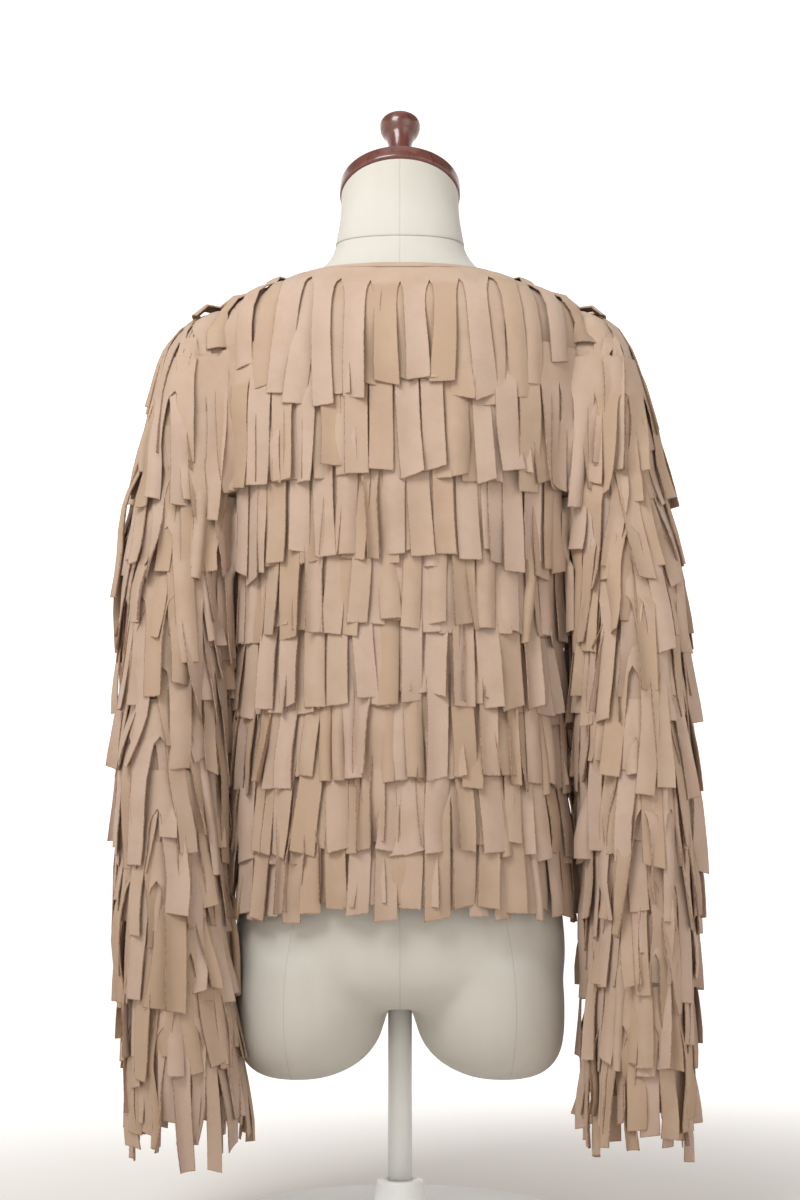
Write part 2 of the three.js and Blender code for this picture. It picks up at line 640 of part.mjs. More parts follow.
add("fringe_body_1", yokeTier(), MATERIAL.cloth);
BODY_TIERS.forEach((tier, i) => {
  const name = `fringe_body_${i + 2}`;
  if (tier.open) {
    add(`${name}_back`, bodyTier(tier, 1), MATERIAL.cloth);
    add(`${name}_front`, bodyTier(tier, -1), MATERIAL.cloth);
  } else {
    add(name, bodyTier(tier), MATERIAL.cloth);
  }
});

for (const [hand, side] of [["left", 1], ["right", -1]]) {
  add(`sleeve_${hand}`, sleeve(side), MATERIAL.cloth);
  for (let tier = 0; tier < SLEEVE_FRINGE.tiers; tier++) {
    add(`fringe_${hand}_${tier + 1}`, sleeveTier(side, tier), MATERIAL.cloth);
  }
}

export default part;
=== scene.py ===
import json
import math

import bpy
import numpy as np
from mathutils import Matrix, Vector

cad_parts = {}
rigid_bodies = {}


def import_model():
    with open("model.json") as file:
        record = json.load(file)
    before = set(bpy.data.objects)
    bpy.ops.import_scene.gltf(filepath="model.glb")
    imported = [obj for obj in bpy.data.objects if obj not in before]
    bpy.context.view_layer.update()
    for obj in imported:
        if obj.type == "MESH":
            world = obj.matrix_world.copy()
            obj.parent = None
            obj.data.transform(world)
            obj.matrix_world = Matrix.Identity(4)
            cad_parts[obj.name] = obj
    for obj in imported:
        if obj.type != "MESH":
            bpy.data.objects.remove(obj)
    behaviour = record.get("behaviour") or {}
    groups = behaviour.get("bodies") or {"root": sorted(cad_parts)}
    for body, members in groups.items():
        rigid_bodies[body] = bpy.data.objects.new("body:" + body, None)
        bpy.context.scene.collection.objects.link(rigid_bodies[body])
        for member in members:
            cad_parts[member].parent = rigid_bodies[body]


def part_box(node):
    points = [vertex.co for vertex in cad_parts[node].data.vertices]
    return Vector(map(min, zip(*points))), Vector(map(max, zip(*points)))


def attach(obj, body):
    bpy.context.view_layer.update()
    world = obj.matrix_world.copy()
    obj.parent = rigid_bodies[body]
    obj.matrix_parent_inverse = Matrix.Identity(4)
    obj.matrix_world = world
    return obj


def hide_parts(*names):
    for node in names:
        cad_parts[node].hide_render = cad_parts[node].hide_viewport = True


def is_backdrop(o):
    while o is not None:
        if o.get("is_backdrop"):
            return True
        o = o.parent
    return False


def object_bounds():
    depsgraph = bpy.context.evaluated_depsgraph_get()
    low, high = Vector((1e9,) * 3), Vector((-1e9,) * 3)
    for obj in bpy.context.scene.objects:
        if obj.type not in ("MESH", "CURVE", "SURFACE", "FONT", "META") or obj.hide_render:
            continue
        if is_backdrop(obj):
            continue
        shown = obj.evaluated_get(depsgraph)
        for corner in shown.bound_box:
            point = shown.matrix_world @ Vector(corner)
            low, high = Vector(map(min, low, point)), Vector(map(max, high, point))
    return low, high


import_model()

CAD_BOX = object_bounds()

bl_info = {
    "name": "Fringed Top on a Dress Form",
    "version": (1, 0, 0),
    "blender": (4, 5, 0),
    "location": "3D View > Sidebar > Fringed Top",
    "description": "Builds a pullover covered in rows of cut-cloth fringe, on its dress form and stand",
    "category": "Object",
}

# ---------------------------------------------------------------- the object's sizes, in millimetres

MM = 0.001
BODY_POWER = 2.3
SEAM = 0.3  # the gap between pieces that meet
NEAR_AXIS = 0.3  # how near its axis a turned profile starts and ends
HEM_Z = 323
NECKLINE = {"back": 874, "side": 871.5, "front": 846}
BINDING_WIDTH = 6
ARMHOLE = {"top": 842, "bottom": 656, "scoop": 18}
CUFF_Z = 128
NECK_SEAM_Z = 905
NECK_TOP = {"y": -13, "z": 955, "slope": 0.53, "radius": 55.4}
CAP = {"radius": 57.2, "thickness": 15, "edge": 3}
POLE = {"radius": 11, "foot": 6.3, "top": 262}
STUMP = {"middle_y": 8, "low": 133, "high": 244}
TOP_RING = {"band": 17, "strip": 98}  # the first row of fringe, under the binding
PANEL_THICKNESS = 1.2  # of a fringe strip's thickness
USUAL_STRIP_WIDTH = 0.0195  # in metres
PLAIN_TONE = 0.4  # the cloth's tone where there are no strips
UNCUT_TONE = 0.45  # and in the uncut band above them
BODY_ROWS = (775, 702, 641, 573, 505, 444, 392)  # where the slits start, at the centre
OPEN_ROWS = 2  # the first of them, which end at the armholes
BODY_DIP = 14  # how much lower a row lies at the sides than at the centre
SLEEVE_ROWS = {"top": 820, "spacing": 62.9, "count": 11, "drop": 46}
# how far the cuffs hang to +X and to the back
SLEEVE_SWING = {"from_z": 620, "left": (-17, 10), "right": (-3, 0)}
# how far the outer side falls in
SLEEVE_TUCK = {"from_z": 650, "to_z": 500, "left": 17, "right": 10}
# how much of its width a sleeve loses from its elbow to its cuff
SLEEVE_NARROWING = {"left": 0.03, "right": 0.16}

# ---------------------------------------------------------------- level sections, as tables


class Sections:
    """Rows of named columns against a height. Each column is read as a smooth curve that never
    overshoots its rows: a cubic between every two rows, whose slope at a row is the harmonic mean of
    the slopes beside it, or nothing where they turn."""

    def __init__(self, names, rows):
        self.names = names.split()
        self.rows = np.array(rows, float)
        z, values = self.rows[:, 0], self.rows[:, 1:]
        slope = np.diff(values, axis=0) / np.diff(z)[:, None]
        before, after = slope[:-1], slope[1:]
        product = before * after
        total = np.where(product > 0, before + after, 1)
        self.tangent = np.vstack([slope[:1], np.where(product > 0, 2 * product / total, 0), slope[-1:]])

    def __call__(self, name, z):
        column = self.names.index(name)
        height, value, tangent = self.rows[:, 0], self.rows[:, column + 1], self.tangent[:, column]
        h = np.clip(z, height[0], height[-1])
        i = np.clip(np.searchsorted(height, h, side="right") - 1, 0, len(height) - 2)
        span = height[i + 1] - height[i]
        t = (h - height[i]) / span
        rise = t * t * (3 - 2 * t)
        bend = span * (tangent[i] * t * (1 - t) ** 2 - tangent[i + 1] * t * t * (1 - t))
        return value[i] * (1 - rise) + value[i + 1] * rise + bend


BODY = Sections("half_width back front", [
    (300, 151, 116, 113),
    (380, 148, 112, 114),
    (450, 145, 107, 118),
    (515, 143, 103, 124),
    (580, 144, 101, 133),
    (645, 149, 101, 143),
    (680, 155, 102, 142),
    (720, 164, 102, 136),
    (760, 171, 101, 128),
    (800, 175, 98, 117),
    (820, 175, 95, 110),
    (835, 170, 91, 104),
    (844, 161, 88, 100),
    (851, 149, 86, 97),
    (860, 126, 82, 93),
    (871, 96, 76, 88),
    (880, 78, 71, 84),
])

SLEEVE = Sections("outer inner middle half_depth", [
    (100, 260, 161, 42, 62),
    (200, 266, 168, 45, 61),
    (300, 269, 171.2, 42.5, 61),
    (400, 268.5, 169.5, 38, 61),
    (470, 265, 166, 30, 61),
    (530, 262, 165, 22, 61),
    (580, 257, 163, 13, 61),
    (620, 250, 160, 4, 61),
    (656, 242, 155, 0, 60),
    (690, 237, 156, -3, 60),
    (720, 232, 157, -5, 62),
    (760, 225, 159, -6, 61),
    (800, 215, 160, -5, 54),
    (820, 204, 164, -4, 42),
    (832, 191, 165, -3, 31),
    (838, 179, 164, -2, 22),
    (841.5, 167, 163, 0, 9),
])

FORM = Sections("half_width back front", [
    (200, 100, 66, 54),
    (206, 130, 86, 73),
    (216, 145, 99, 86),
    (230, 151, 107, 92),
    (250, 152, 110, 96),
    (290, 149, 109, 100),
    (340, 143, 104, 102),
    (400, 134, 93, 101),
    (450, 124, 80, 98),
    (515, 112, 68, 94),
    (570, 122, 76, 112),
    (610, 133, 84, 129),
    (645, 141, 89, 134),
    (680, 148, 92, 132),
    (720, 157, 94, 127),
    (760, 164, 94, 119),
    (800, 168, 91, 109),
    (824, 167, 87, 101),
    (840.6, 158, 83, 95),
    (849.8, 146, 80, 91),
    (858.9, 124, 76, 86),
    (869.6, 94, 70, 80),
    (877, 80, 65, 76),
    (887, 69, 59, 70),
    (898, 62, 53, 65),
    (920, 58, 45, 63),
    (955, 54.5, 36, 62),
])

STUMP_SIDES = Sections("outer inner half_depth", [
    (133, 104, 84, 10),
    (134.5, 118, 68, 32),
    (139, 131, 54, 53),
    (146, 140, 40, 67),
    (156, 146.5, 28, 78),
    (170, 150, 18.5, 86),
    (184, 151, 14, 91),
    (204, 151, 9, 94),
    (244, 146, 8, 94),
])

KNOB = Sections("radius", [
    (0, 17), (5, 16), (12, 12.5), (25, 10.2), (40, 10), (51, 11.3), (60, 13.6), (66, 17), (71, 19),
    (76, 19.5), (79.5, 18.3), (81.5, 14), (82.3, 5),
])

# ---------------------------------------------------------------- surfaces


def stacked(x, y, z):
    """Points from their three coordinates, each a number or an array."""
    return np.stack(np.broadcast_arrays(x, y, z), axis=-1).astype(float)


def signed_power(value, power):
    """A power of the size of a value, with the value's own sign."""
    return np.sign(value) * np.abs(value) ** power


def superellipse(table, turn, z):
    """A point of a level section: the half width times the sine of the turn, and the depth times its
    cosine, each raised to 2 over the section's power. Turn 0 is centre back, a quarter turn the left
    side."""
    across = signed_power(np.sin(turn), 2 / BODY_POWER)
    along = signed_power(np.cos(turn), 2 / BODY_POWER)
    reach = np.where(along > 0, table("back", z), table("front", z))
    return stacked(table("half_width", z) * across, reach * along, z)


def eased(share):
    """A smooth step: three times the share's square less twice its cube."""
    return share * share * (3 - 2 * share)


def armhole_share(z):
    """How far down the armhole a height is: 0 at its top and 1 at its bottom."""
    return (ARMHOLE["top"] - z) / (ARMHOLE["top"] - ARMHOLE["bottom"])


def beside_armhole(z):
    """Whether a height lies between the armhole's two ends."""
    return (armhole_share(z) > 0) & (armhole_share(z) < 1)


def panel_edge(z, back):
    """The turn at which a body panel ends at a height: the side or shoulder seam, or the armhole's edge,
    which lies inside the section's half width by a scoop that is deepest half way down."""
    reach = BODY("back", z) if back else BODY("front", z)
    seam = np.arccos((SEAM / reach) ** (BODY_POWER / 2))
    scoop = ARMHOLE["scoop"] * np.sin(np.pi * np.clip(armhole_share(z), 0, 1)) ** 0.6
    share = np.clip((BODY("half_width", z) - scoop) / BODY("half_width", z), 0, 1)
    return np.where(beside_armhole(z), np.minimum(seam, np.arcsin(share ** (BODY_POWER / 2))), seam)


def sleeve_section(z):
    """Half an ellipse outside and half of another inside. Beside the armhole the inner half is open,
    and its ends lie along the armhole's edges."""
    z = np.asarray(z, float)
    outer = SLEEVE("outer", z)
    x = (outer + SLEEVE("inner", z)) / 2
    edge_turn = panel_edge(z, True), np.pi - panel_edge(z, False)
    back_edge, front_edge = (superellipse(BODY, turn, z) for turn in edge_turn)
    underarm = eased(np.clip((armhole_share(z) - 0.75) / 0.25, 0, 1))
    edge_x = back_edge[..., 0] + 3 * SEAM + 2 * underarm
    half_edge = (back_edge[..., 1] - front_edge[..., 1]) / 2
    depth = np.maximum(SLEEVE("half_depth", z), half_edge * 1.03)
    middle = (back_edge[..., 1] + front_edge[..., 1]) / 2
    middle = middle * (1 - underarm ** 2) + SLEEVE("middle", z) * underarm ** 2
    beside = beside_armhole(z)
    open_turn = np.where(beside, np.pi - np.arcsin(np.clip(half_edge / depth, 0, 1)), np.pi)
    return {
        "x": x,
        "y": np.where(beside, middle, SLEEVE("middle", z)),
        "outer_half": outer - x,
        "inner_half": np.where(beside, (edge_x - x) / np.cos(open_turn), outer - x),
        "half_depth": np.where(beside, depth, SLEEVE("half_depth", z)),
        "open": open_turn,
    }


def body_surface(turn, z):
    """A point of the cloth on the body."""
    return superellipse(BODY, turn, z)


def sleeve_surface(side):
    """The surface of a sleeve, where side is 1 for the wearer's left one and -1 for the right, and turn
    0 is the outer side. From the elbow down it swings and narrows by the square of the depth below it,
    and its outer half falls in by a smooth step of the height."""
    hand = "left" if side > 0 else "right"
    swing, tuck = SLEEVE_SWING[hand], SLEEVE_TUCK[hand]

    def surface(turn, z):
        s = sleeve_section(z)
        fallen = (SLEEVE_TUCK["from_z"] - z) / (SLEEVE_TUCK["from_z"] - SLEEVE_TUCK["to_z"])
        tucked = s["outer_half"] - tuck * eased(np.clip(fallen, 0, 1))
        below = np.clip((SLEEVE_SWING["from_z"] - z) / (SLEEVE_SWING["from_z"] - CUFF_Z), 0, 1) ** 2
        half = np.where(np.cos(turn) > 0, tucked, s["inner_half"])
        half = half * (1 - SLEEVE_NARROWING[hand] * below)
        return stacked(side * (s["x"] + half * np.cos(turn)) + swing[0] * below,
                       s["y"] + s["half_depth"] * np.sin(turn) + swing[1] * below, z)

    return surface


def unit(vectors):
    """Vectors brought to a length of 1."""
    return vectors / np.maximum(np.linalg.norm(vectors, axis=-1, keepdims=True), 1e-9)


def outward_of(surface, turn, z, middle):
    """The surface's direction at right angles to its steps round and down, pointing away from the
    middle."""
    step_round = surface(turn + 0.01, z) - surface(turn - 0.01, z)
    step_down = surface(turn, z - 0.5) - surface(turn, z)
    outward = unit(np.cross(step_round, step_down))
    away = np.sum(outward * (surface(turn, z) - middle), axis=-1, keepdims=True)
    return outward * np.where(away < 0, -1, 1)


def neckline_z(turn):
    """The neckline's height: from the side's towards the centre's by the square of the turn's cosine."""
    c = np.cos(turn)
    end = np.where(c > 0, NECKLINE["back"], NECKLINE["front"])
    return NECKLINE["side"] + (end - NECKLINE["side"]) * c * c


def below_neckline(turn, length):
    """The height reached by going down the cloth from the neckline by a length: distances between close
    levels are summed, and the height is read off at the length."""
    turn = np.atleast_1d(turn)
    depths = np.linspace(0, 60, 400)
    z = neckline_z(turn)[:, None] - depths
    points = body_surface(turn[:, None], z)
    gone = np.cumsum(np.linalg.norm(np.diff(points, axis=1), axis=-1), axis=1)
    gone = np.hstack([np.zeros((len(turn), 1)), gone])
    length = np.broadcast_to(length, turn.shape)
    return np.array([np.interp(want, g, h) for want, g, h in zip(length, gone, z)])


# ---------------------------------------------------------------- meshes


def turns_round(count):
    """Equal turns all the way round, from none to just before a full one."""
    return np.linspace(0, 2 * np.pi, count, endpoint=False)


def placed(name, data):
    """A new object in the scene, which holds a mesh, a lamp or a camera."""
    holder = bpy.data.objects.new(name, data)
    bpy.context.scene.collection.objects.link(holder)
    return holder


def new_piece(name, points, faces, finish, nodes, sharp=None, numbers=None):
    """Makes a smooth mesh object from points in millimetres and faces with three or four corners. It
    rides on the root, takes the place of its nodes, keeps the given edges sharp and carries the numbers
    at its points."""
    mesh = bpy.data.meshes.new(name)
    corners = faces.tolist() if isinstance(faces, np.ndarray) else faces
    mesh.from_pydata(np.asarray(points) * MM, [], corners)
    mesh.polygons.foreach_set("use_smooth", np.full(len(mesh.polygons), True))
    if sharp is not None:
        ends = np.empty(len(mesh.edges) * 2, dtype=np.int64)
        mesh.edges.foreach_get("vertices", ends)
        ends = np.sort(ends.reshape(-1, 2), axis=1)
        wanted = np.sort(np.asarray(sharp, dtype=np.int64), axis=1)
        size = len(points)
        is_sharp = np.isin(ends[:, 0] * size + ends[:, 1], wanted[:, 0] * size + wanted[:, 1])
        mesh.attributes.new("sharp_edge", "BOOLEAN", "EDGE").data.foreach_set("value", is_sharp)
    for key, values in (numbers or {}).items():
        attribute = mesh.attributes.new(key, "FLOAT", "POINT")
        attribute.data.foreach_set("value", np.asarray(values, dtype=np.float32))
    mesh.validate()
    mesh.materials.append(finish)
    piece = placed(name, mesh)
    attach(piece, "root")
    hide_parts(*nodes)


def grid_faces(rows, columns, round_columns=False):
    """Four-cornered faces over a grid of rows and columns, whose last column may join the first."""
    steps = columns if round_columns else columns - 1
    r, c = np.meshgrid(np.arange(rows - 1), np.arange(steps), indexing="ij")
    here, after = r * columns + c, r * columns + (c + 1) % columns
    return np.stack([here, after, after + columns, here + columns], axis=-1).reshape(-1, 4)


def thicken(points, faces, thickness):
    """Gives a sheet two sides: each point moves half the thickness both ways along the mean direction
    of its faces, and a rim of four-cornered faces closes every open edge. Returns points, faces and the
    rims' edges."""
    points, faces = np.asarray(points, float), np.asarray(faces)
    across = np.cross(points[faces[:, 2]] - points[faces[:, 0]], points[faces[:, 3]] - points[faces[:, 1]])
    normal = np.zeros_like(points)
    for corner in range(4):
        np.add.at(normal, faces[:, corner], across)
    normal = unit(normal)
    count = len(points)
    both = np.vstack([points + normal * thickness / 2, points - normal * thickness / 2])
    start, end = faces.ravel(), np.roll(faces, -1, axis=1).ravel()
    open_edge = ~np.isin(start * count + end, end * count + start)
    start, end = start[open_edge], end[open_edge]
    rim = np.stack([end, start, start + count, end + count], axis=1)
    sharp = np.vstack([np.stack([start, end], 1), np.stack([start, end], 1) + count])
    return both, np.vstack([faces, faces[:, ::-1] + count, rim]), sharp


def closed_faces(rows, columns):
    """Faces round rings of points, with a fan at each end to one of the two points that follow the
    rings."""
    here = np.arange(columns)
    after, last, low = (here + 1) % columns, (rows - 1) * columns, rows * columns
    first_end = np.stack([after, here, np.full(columns, low)], axis=1)
    last_end = np.stack([here + last, after + last, np.full(columns, low + 1)], axis=1)
    return grid_faces(rows, columns, True).tolist() + first_end.tolist() + last_end.tolist()


def turned(profile, segments):
    """Points and faces of a profile of radius and height turned about the vertical axis: the radius
    times the cosine and the sine of the angle. A closing point on the axis ends it at both ends."""
    profile = np.asarray(profile, float)
    angle = turns_round(segments)
    ring = stacked(profile[:, :1] * np.cos(angle), profile[:, :1] * np.sin(angle), profile[:, 1:2])
    points = np.vstack([ring.reshape(-1, 3), [[0, 0, profile[0, 1]], [0, 0, profile[-1, 1]]]])
    return points, closed_faces(len(profile), segments)


def rounded_corner(radius_at, height_at, radius, start, end, steps=6):
    """Profile points on a quarter circle about a centre, from one angle to another, in degrees."""
    angle = np.radians(np.linspace(start, end, steps))
    return np.stack([radius_at + radius * np.cos(angle), height_at + radius * np.sin(angle)], axis=1)


# ---------------------------------------------------------------- materials


class Value:
    """A number socket. Each arithmetic operator on it adds a Math node, so formulas read as formulas."""

    def __init__(self, finish, socket):
        self.finish, self.socket = finish, socket

    def _math(self, operation, *values):
        return self.finish.math(operation, *values)

    def __add__(self, other):
        return self._math("ADD", self, other)

    def __sub__(self, other):
        return self._math("SUBTRACT", self, other)

    def __rsub__(self, other):
        return self._math("SUBTRACT", other, self)

    def __mul__(self, other):
        return self._math("MULTIPLY", self, other)

    def __truediv__(self, other):
        return self._math("DIVIDE", self, other)

    def __rtruediv__(self, other):
        return self._math("DIVIDE", other, self)

    def __pow__(self, other):
        return self._math("POWER", self, other)

    def __abs__(self):
        return self._math("ABSOLUTE", self)

    __radd__, __rmul__ = __add__, __mul__


class Finish:
    """One material: a Principled shader, whose constant values are given by socket name, and its nodes."""

    def __init__(self, name, **constants):
        self.material = bpy.data.materials.new(name)
        self.material.use_nodes = True
        self.tree = self.material.node_tree
        self.shader = next(n for n in self.tree.nodes if n.type == "BSDF_PRINCIPLED")
        for key, value in constants.items():
            self.shader.inputs[key.replace("_", " ")].default_value = value

    def node(self, kind, settings=None, inputs=None):
        """Adds a node: its settings first, then the values or links of its sockets, by name or number."""
        made = self.tree.nodes.new(kind)
        for key, value in (settings or {}).items():
            setattr(made, key, value)
        for key, value in (inputs or {}).items():
            self.feed(made.inputs[key], value)
        return made

    def feed(self, socket, value):
        """Links a socket to a value or an output, or sets it to a constant."""
        if isinstance(value, Value):
            value = value.socket
        if isinstance(value, bpy.types.NodeSocket):
            self.tree.links.new(value, socket)
        else:
            socket.default_value = value

    def give(self, name, value):
        """Feeds one of the shader's own sockets."""
        self.feed(self.shader.inputs[name], value)

    def math(self, operation, *values):
        """A Math node over values and constants."""
        made = self.node("ShaderNodeMath", {"operation": operation}, dict(enumerate(values)))
        return Value(self, made.outputs[0])

    def coordinates(self):
        """The object's own place, as one vector and as its three numbers, in metres."""
        place = self.node("ShaderNodeTexCoord").outputs["Object"]
        split = self.node("ShaderNodeSeparateXYZ", None, {0: place})
        return place, *(Value(self, split.outputs[i]) for i in range(3))

    def noise(self, vector, scale, detail, roughness):
        inputs = {"Vector": vector, "Scale": scale, "Detail": detail, "Roughness": roughness}
        return Value(self, self.node("ShaderNodeTexNoise", None, inputs).outputs[0])

    def stretched(self, vector, scale):
        """A place scaled on each axis, so that what is read there is stretched where the scale is small."""
        return self.node("ShaderNodeMapping", None, {"Vector": vector, "Scale": scale}).outputs[0]

    def number(self, name):
        """A number that the mesh carries at its points."""
        return Value(self, self.node("ShaderNodeAttribute", {"attribute_name": name}).outputs["Fac"])

    def ramp(self, value, low, high):
        """A smooth step of a value from 0 at low to 1 at high."""
        settings = {"interpolation_type": "SMOOTHSTEP"}
        inputs = {"Value": value, "From Min": low, "From Max": high}
        return Value(self, self.node("ShaderNodeMapRange", settings, inputs).outputs[0])

    def line(self, value, half_width):
        """1 where a value is nothing, falling smoothly to 0 at the half width."""
        return 1 - self.ramp(abs(value), half_width * 0.25, half_width)

    def mix(self, factor, first, second, blend="MIX"):
        settings = {"data_type": "RGBA", "blend_type": blend}
        return self.node("ShaderNodeMix", settings, {0: factor, 6: first, 7: second}).outputs[2]

    def bump(self, height, strength, distance):
        inputs = {"Height": height, "Strength": strength, "Distance": distance}
        self.give("Normal", self.node("ShaderNodeBump", None, inputs).outputs[0])


def srgb(red, green, blue):
    """A colour given in the usual 0 to 255 steps, as linear light."""
    share = np.array([red, green, blue]) / 255
    return (*np.where(share <= 0.04045, share / 12.92, ((share + 0.055) / 1.055) ** 2.4).tolist(), 1.0)


def scaled(colour, red, green, blue):
    """A colour with each of its three channels scaled by its own factor."""
    return (colour[0] * red, colour[1] * green, colour[2] * blue, 1.0)


def shade(colour, factor):
    """A colour made darker or lighter."""
    return scaled(colour, factor, factor, factor)


def brushed_cloth(colour):
    """Matt suede-like cloth: soft mottling, a fine nap, a tone for each strip, and a thin darker line
    painted as shade along each strip's cut edges and tip: side is 1 at a strip's long edges, and tip is
    the distance from its end in millimetres."""
    finish = Finish("brushed_cloth", Sheen_Weight=0.15, Sheen_Roughness=0.5, Sheen_Tint=srgb(255, 240, 228),
                    Specular_IOR_Level=0.15)
    place, *_ = finish.coordinates()
    tone, side, tip = finish.number("tone"), finish.number("side"), finish.number("tip")
    mottle = finish.noise(place, 30, 3, 0.6)
    nap = finish.noise(place, 1100, 2, 0.6)
    frayed = finish.noise(place, 420, 2, 0.6)
    brushed = finish.noise(finish.stretched(place, (1, 1, 0.3)), 120, 3, 0.6)
    crease = finish.noise(finish.stretched(place, (1, 1, 0.4)), 60, 3, 0.5)
    pink = scaled(colour, 0.99, 1.0, 1.04)
    warm = scaled(colour, 0.88, 0.85, 0.77)
    deep = scaled(colour, 0.8, 0.74, 0.68)
    shift = tone + (mottle - 0.5) * 0.7
    pinkish = finish.mix(finish.ramp(shift, 0.55, 0.1), scaled(colour, 0.95, 0.94, 0.92), pink)
    warmed = finish.mix(finish.ramp(shift, 0.5, 0.95), pinkish, warm)
    clouded = finish.mix(finish.ramp(mottle, 0.4, 0.7) * 0.3, warmed, deep)
    speckled = finish.mix(finish.ramp(nap, 0.3, 0.8) * 0.25, clouded, deep)
    # painted shade: a thin dark brown line along each strip's long edges and its tip, broken up by fray noise
    edge_shade_mask = finish.math("MAXIMUM", finish.ramp(side + (nap - 0.5) * 0.05, 0.92, 0.985),
                           finish.ramp(tip + (nap - 0.5) * 0.6, 1.0, 0.3))
    painted_edge_shade = edge_shade_mask * (0.25 + finish.ramp(frayed, 0.42, 0.56) * 0.6)
    finish.give("Base Color", finish.mix(painted_edge_shade, speckled, scaled(colour, 0.5, 0.36, 0.26)))
    finish.give("Roughness", 0.78 + (brushed - 0.5) * 0.2)
    finish.bump(nap * 0.2 + brushed * 0.35 + crease * 0.9 + mottle * 1.3, 0.65, 0.001)
    return finish.material


def form_cotton(colour):
    """Cream cotton stretched over the padding: a fine plain weave, and the sewn seams as grooves."""
    finish = Finish("form_cotton", Sheen_Weight=0.12, Sheen_Roughness=0.5, Specular_IOR_Level=0.2)
    place, x, y, z = finish.coordinates()
    threads = {"Vector": place, "Scale": 420, "Distortion": 0.6}
    warp = finish.node("ShaderNodeTexWave", {"bands_direction": "X"}, threads)
    weft = finish.node("ShaderNodeTexWave", {"bands_direction": "Z"}, threads)
    weave = Value(finish, warp.outputs[1]) * 0.5 + Value(finish, weft.outputs[1]) * 0.5
    slub = finish.noise(finish.stretched(place, (1, 1, 0.2)), 60, 3, 0.55)
    below_waist = finish.ramp(z, 0.42, 0.36)
    princess = 0.103 - (z - 0.2) * (z - 0.2) * 1.4
    lengthwise = finish.line(abs(x) - princess, 0.0007) * below_waist
    seams = finish.math("MAXIMUM", finish.line(x, 0.0007), lengthwise)
    seams = finish.math("MAXIMUM", seams, finish.line(z - NECK_SEAM_Z * MM, 0.0006))
    side = finish.line(y - 0.008, 0.0007) * finish.ramp(abs(x), 0.1, 0.12)
    seams = finish.math("MAXIMUM", seams, side)
    wide = finish.line(x, 0.004) * 0.5
    base = finish.mix(finish.ramp(slub, 0.35, 0.75) * 0.35, colour, shade(colour, 0.93))
    finish.give("Base Color", finish.mix(seams * 0.24, base, scaled(colour, 0.62, 0.6, 0.56)))
    finish.give("Roughness", 0.82 + (slub - 0.5) * 0.1)
    finish.bump(weave * 0.12 + slub * 0.15 - seams * 0.7 - wide * 0.3, 0.6, 0.0005)
    return finish.material


def varnished_wood(colour):
    """Dark red-brown turned wood under clear varnish, with its grain along the turning's axis."""
    finish = Finish("varnished_wood", Coat_Weight=0.55, Coat_Roughness=0.06, Specular_IOR_Level=0.35)
    place, *_ = finish.coordinates()
    grain = finish.noise(finish.stretched(place, (1, 1, 0.12)), 240, 4, 0.62)
    cloud = finish.noise(place, 35, 2, 0.5)
    dark = finish.mix(finish.ramp(grain, 0.36, 0.66), shade(colour, 0.8), shade(colour, 1.15))
    finish.give("Base Color", finish.mix(finish.ramp(cloud, 0.3, 0.75) * 0.3, dark, shade(colour, 1.3)))
    finish.give("Roughness", 0.3 + (grain - 0.5) * 0.2)
    finish.bump(grain * 0.4 + cloud * 0.6, 0.12, 0.0006)
    return finish.material


def powder_coat(colour):
    """Pale satin powder coat on steel, with its fine orange-peel surface."""
    finish = Finish("powder_coat", Specular_IOR_Level=0.5, Metallic=0.0)
    place, *_ = finish.coordinates()
    peel = finish.noise(place, 700, 2, 0.5)
    wear = finish.noise(place, 14, 4, 0.6)
    finish.give("Base Color", finish.mix(finish.ramp(wear, 0.45, 0.8) * 0.3, colour, shade(colour, 0.93)))
    finish.give("Roughness", 0.42 + (wear - 0.5) * 0.15)
    finish.bump(peel, 0.2, 0.0002)
    return finish.material


def material(make, colour):
    """The finish that a function makes, in a colour of the sidebar: the one made before, or a new one."""
    return bpy.data.materials.get(make.__name__) or make((*colour, 1.0))


# ---------------------------------------------------------------- the dress form and its stand


def rings_loft(rings):
    """A closed solid through rings of points, with a point in the middle of each end."""
    points = np.vstack([rings.reshape(-1, 3), rings[0].mean(axis=0), rings[-1].mean(axis=0)])
    return points, closed_faces(*rings.shape[:2])


def torso_rings(columns):
    """Rings of the form's level sections, from the crotch to just above the neck's seam."""
    levels = np.concatenate([
        np.linspace(200, 232, 9), np.linspace(238, 820, 118), np.linspace(823, NECK_SEAM_Z + 8, 36),
    ])
    return superellipse(FORM, -turns_round(columns)[None, :], levels[:, None])


def neck_rings(columns):
    """Rings of the neck from its seam up. Each is slanted more than the one below, until the last lies
    in the slanted top: its height rises by the top's slope for each millimetre towards the back."""
    turn = -turns_round(columns)
    share = np.concatenate([[0, 0.004, 0.012], np.linspace(0.03, 0.97, 40), [0.985, 0.995, 1]])[:, None]
    z = NECK_SEAM_Z + (NECK_TOP["z"] - NECK_SEAM_Z) * share
    rings = superellipse(FORM, turn[None, :], z)
    round_top = NECK_TOP["radius"] * np.cos(math.atan(NECK_TOP["slope"]))
    even = stacked(NECK_TOP["radius"] * np.sin(turn), NECK_TOP["y"] + round_top * np.cos(turn), z)
    rings += (even - rings) * eased(share)[..., None]
    # the cover is slightly wider than the form, and drawn in at its foot and at its upper edge
    at_foot = np.clip(1 - share / 0.012, 0, 1)
    at_edge = np.clip((share - 0.985) / 0.015, 0, 1)
    drawn_in = 1 - 0.012 * at_foot - 0.02 * at_edge ** 2
    rings[..., 0] *= drawn_in * 1.004
    rings[..., 1] = (rings[..., 1] - NECK_TOP["y"]) * drawn_in * 1.004 + NECK_TOP["y"]
    rings[..., 2] += share * NECK_TOP["slope"] * (rings[..., 1] - NECK_TOP["y"])
    return rings


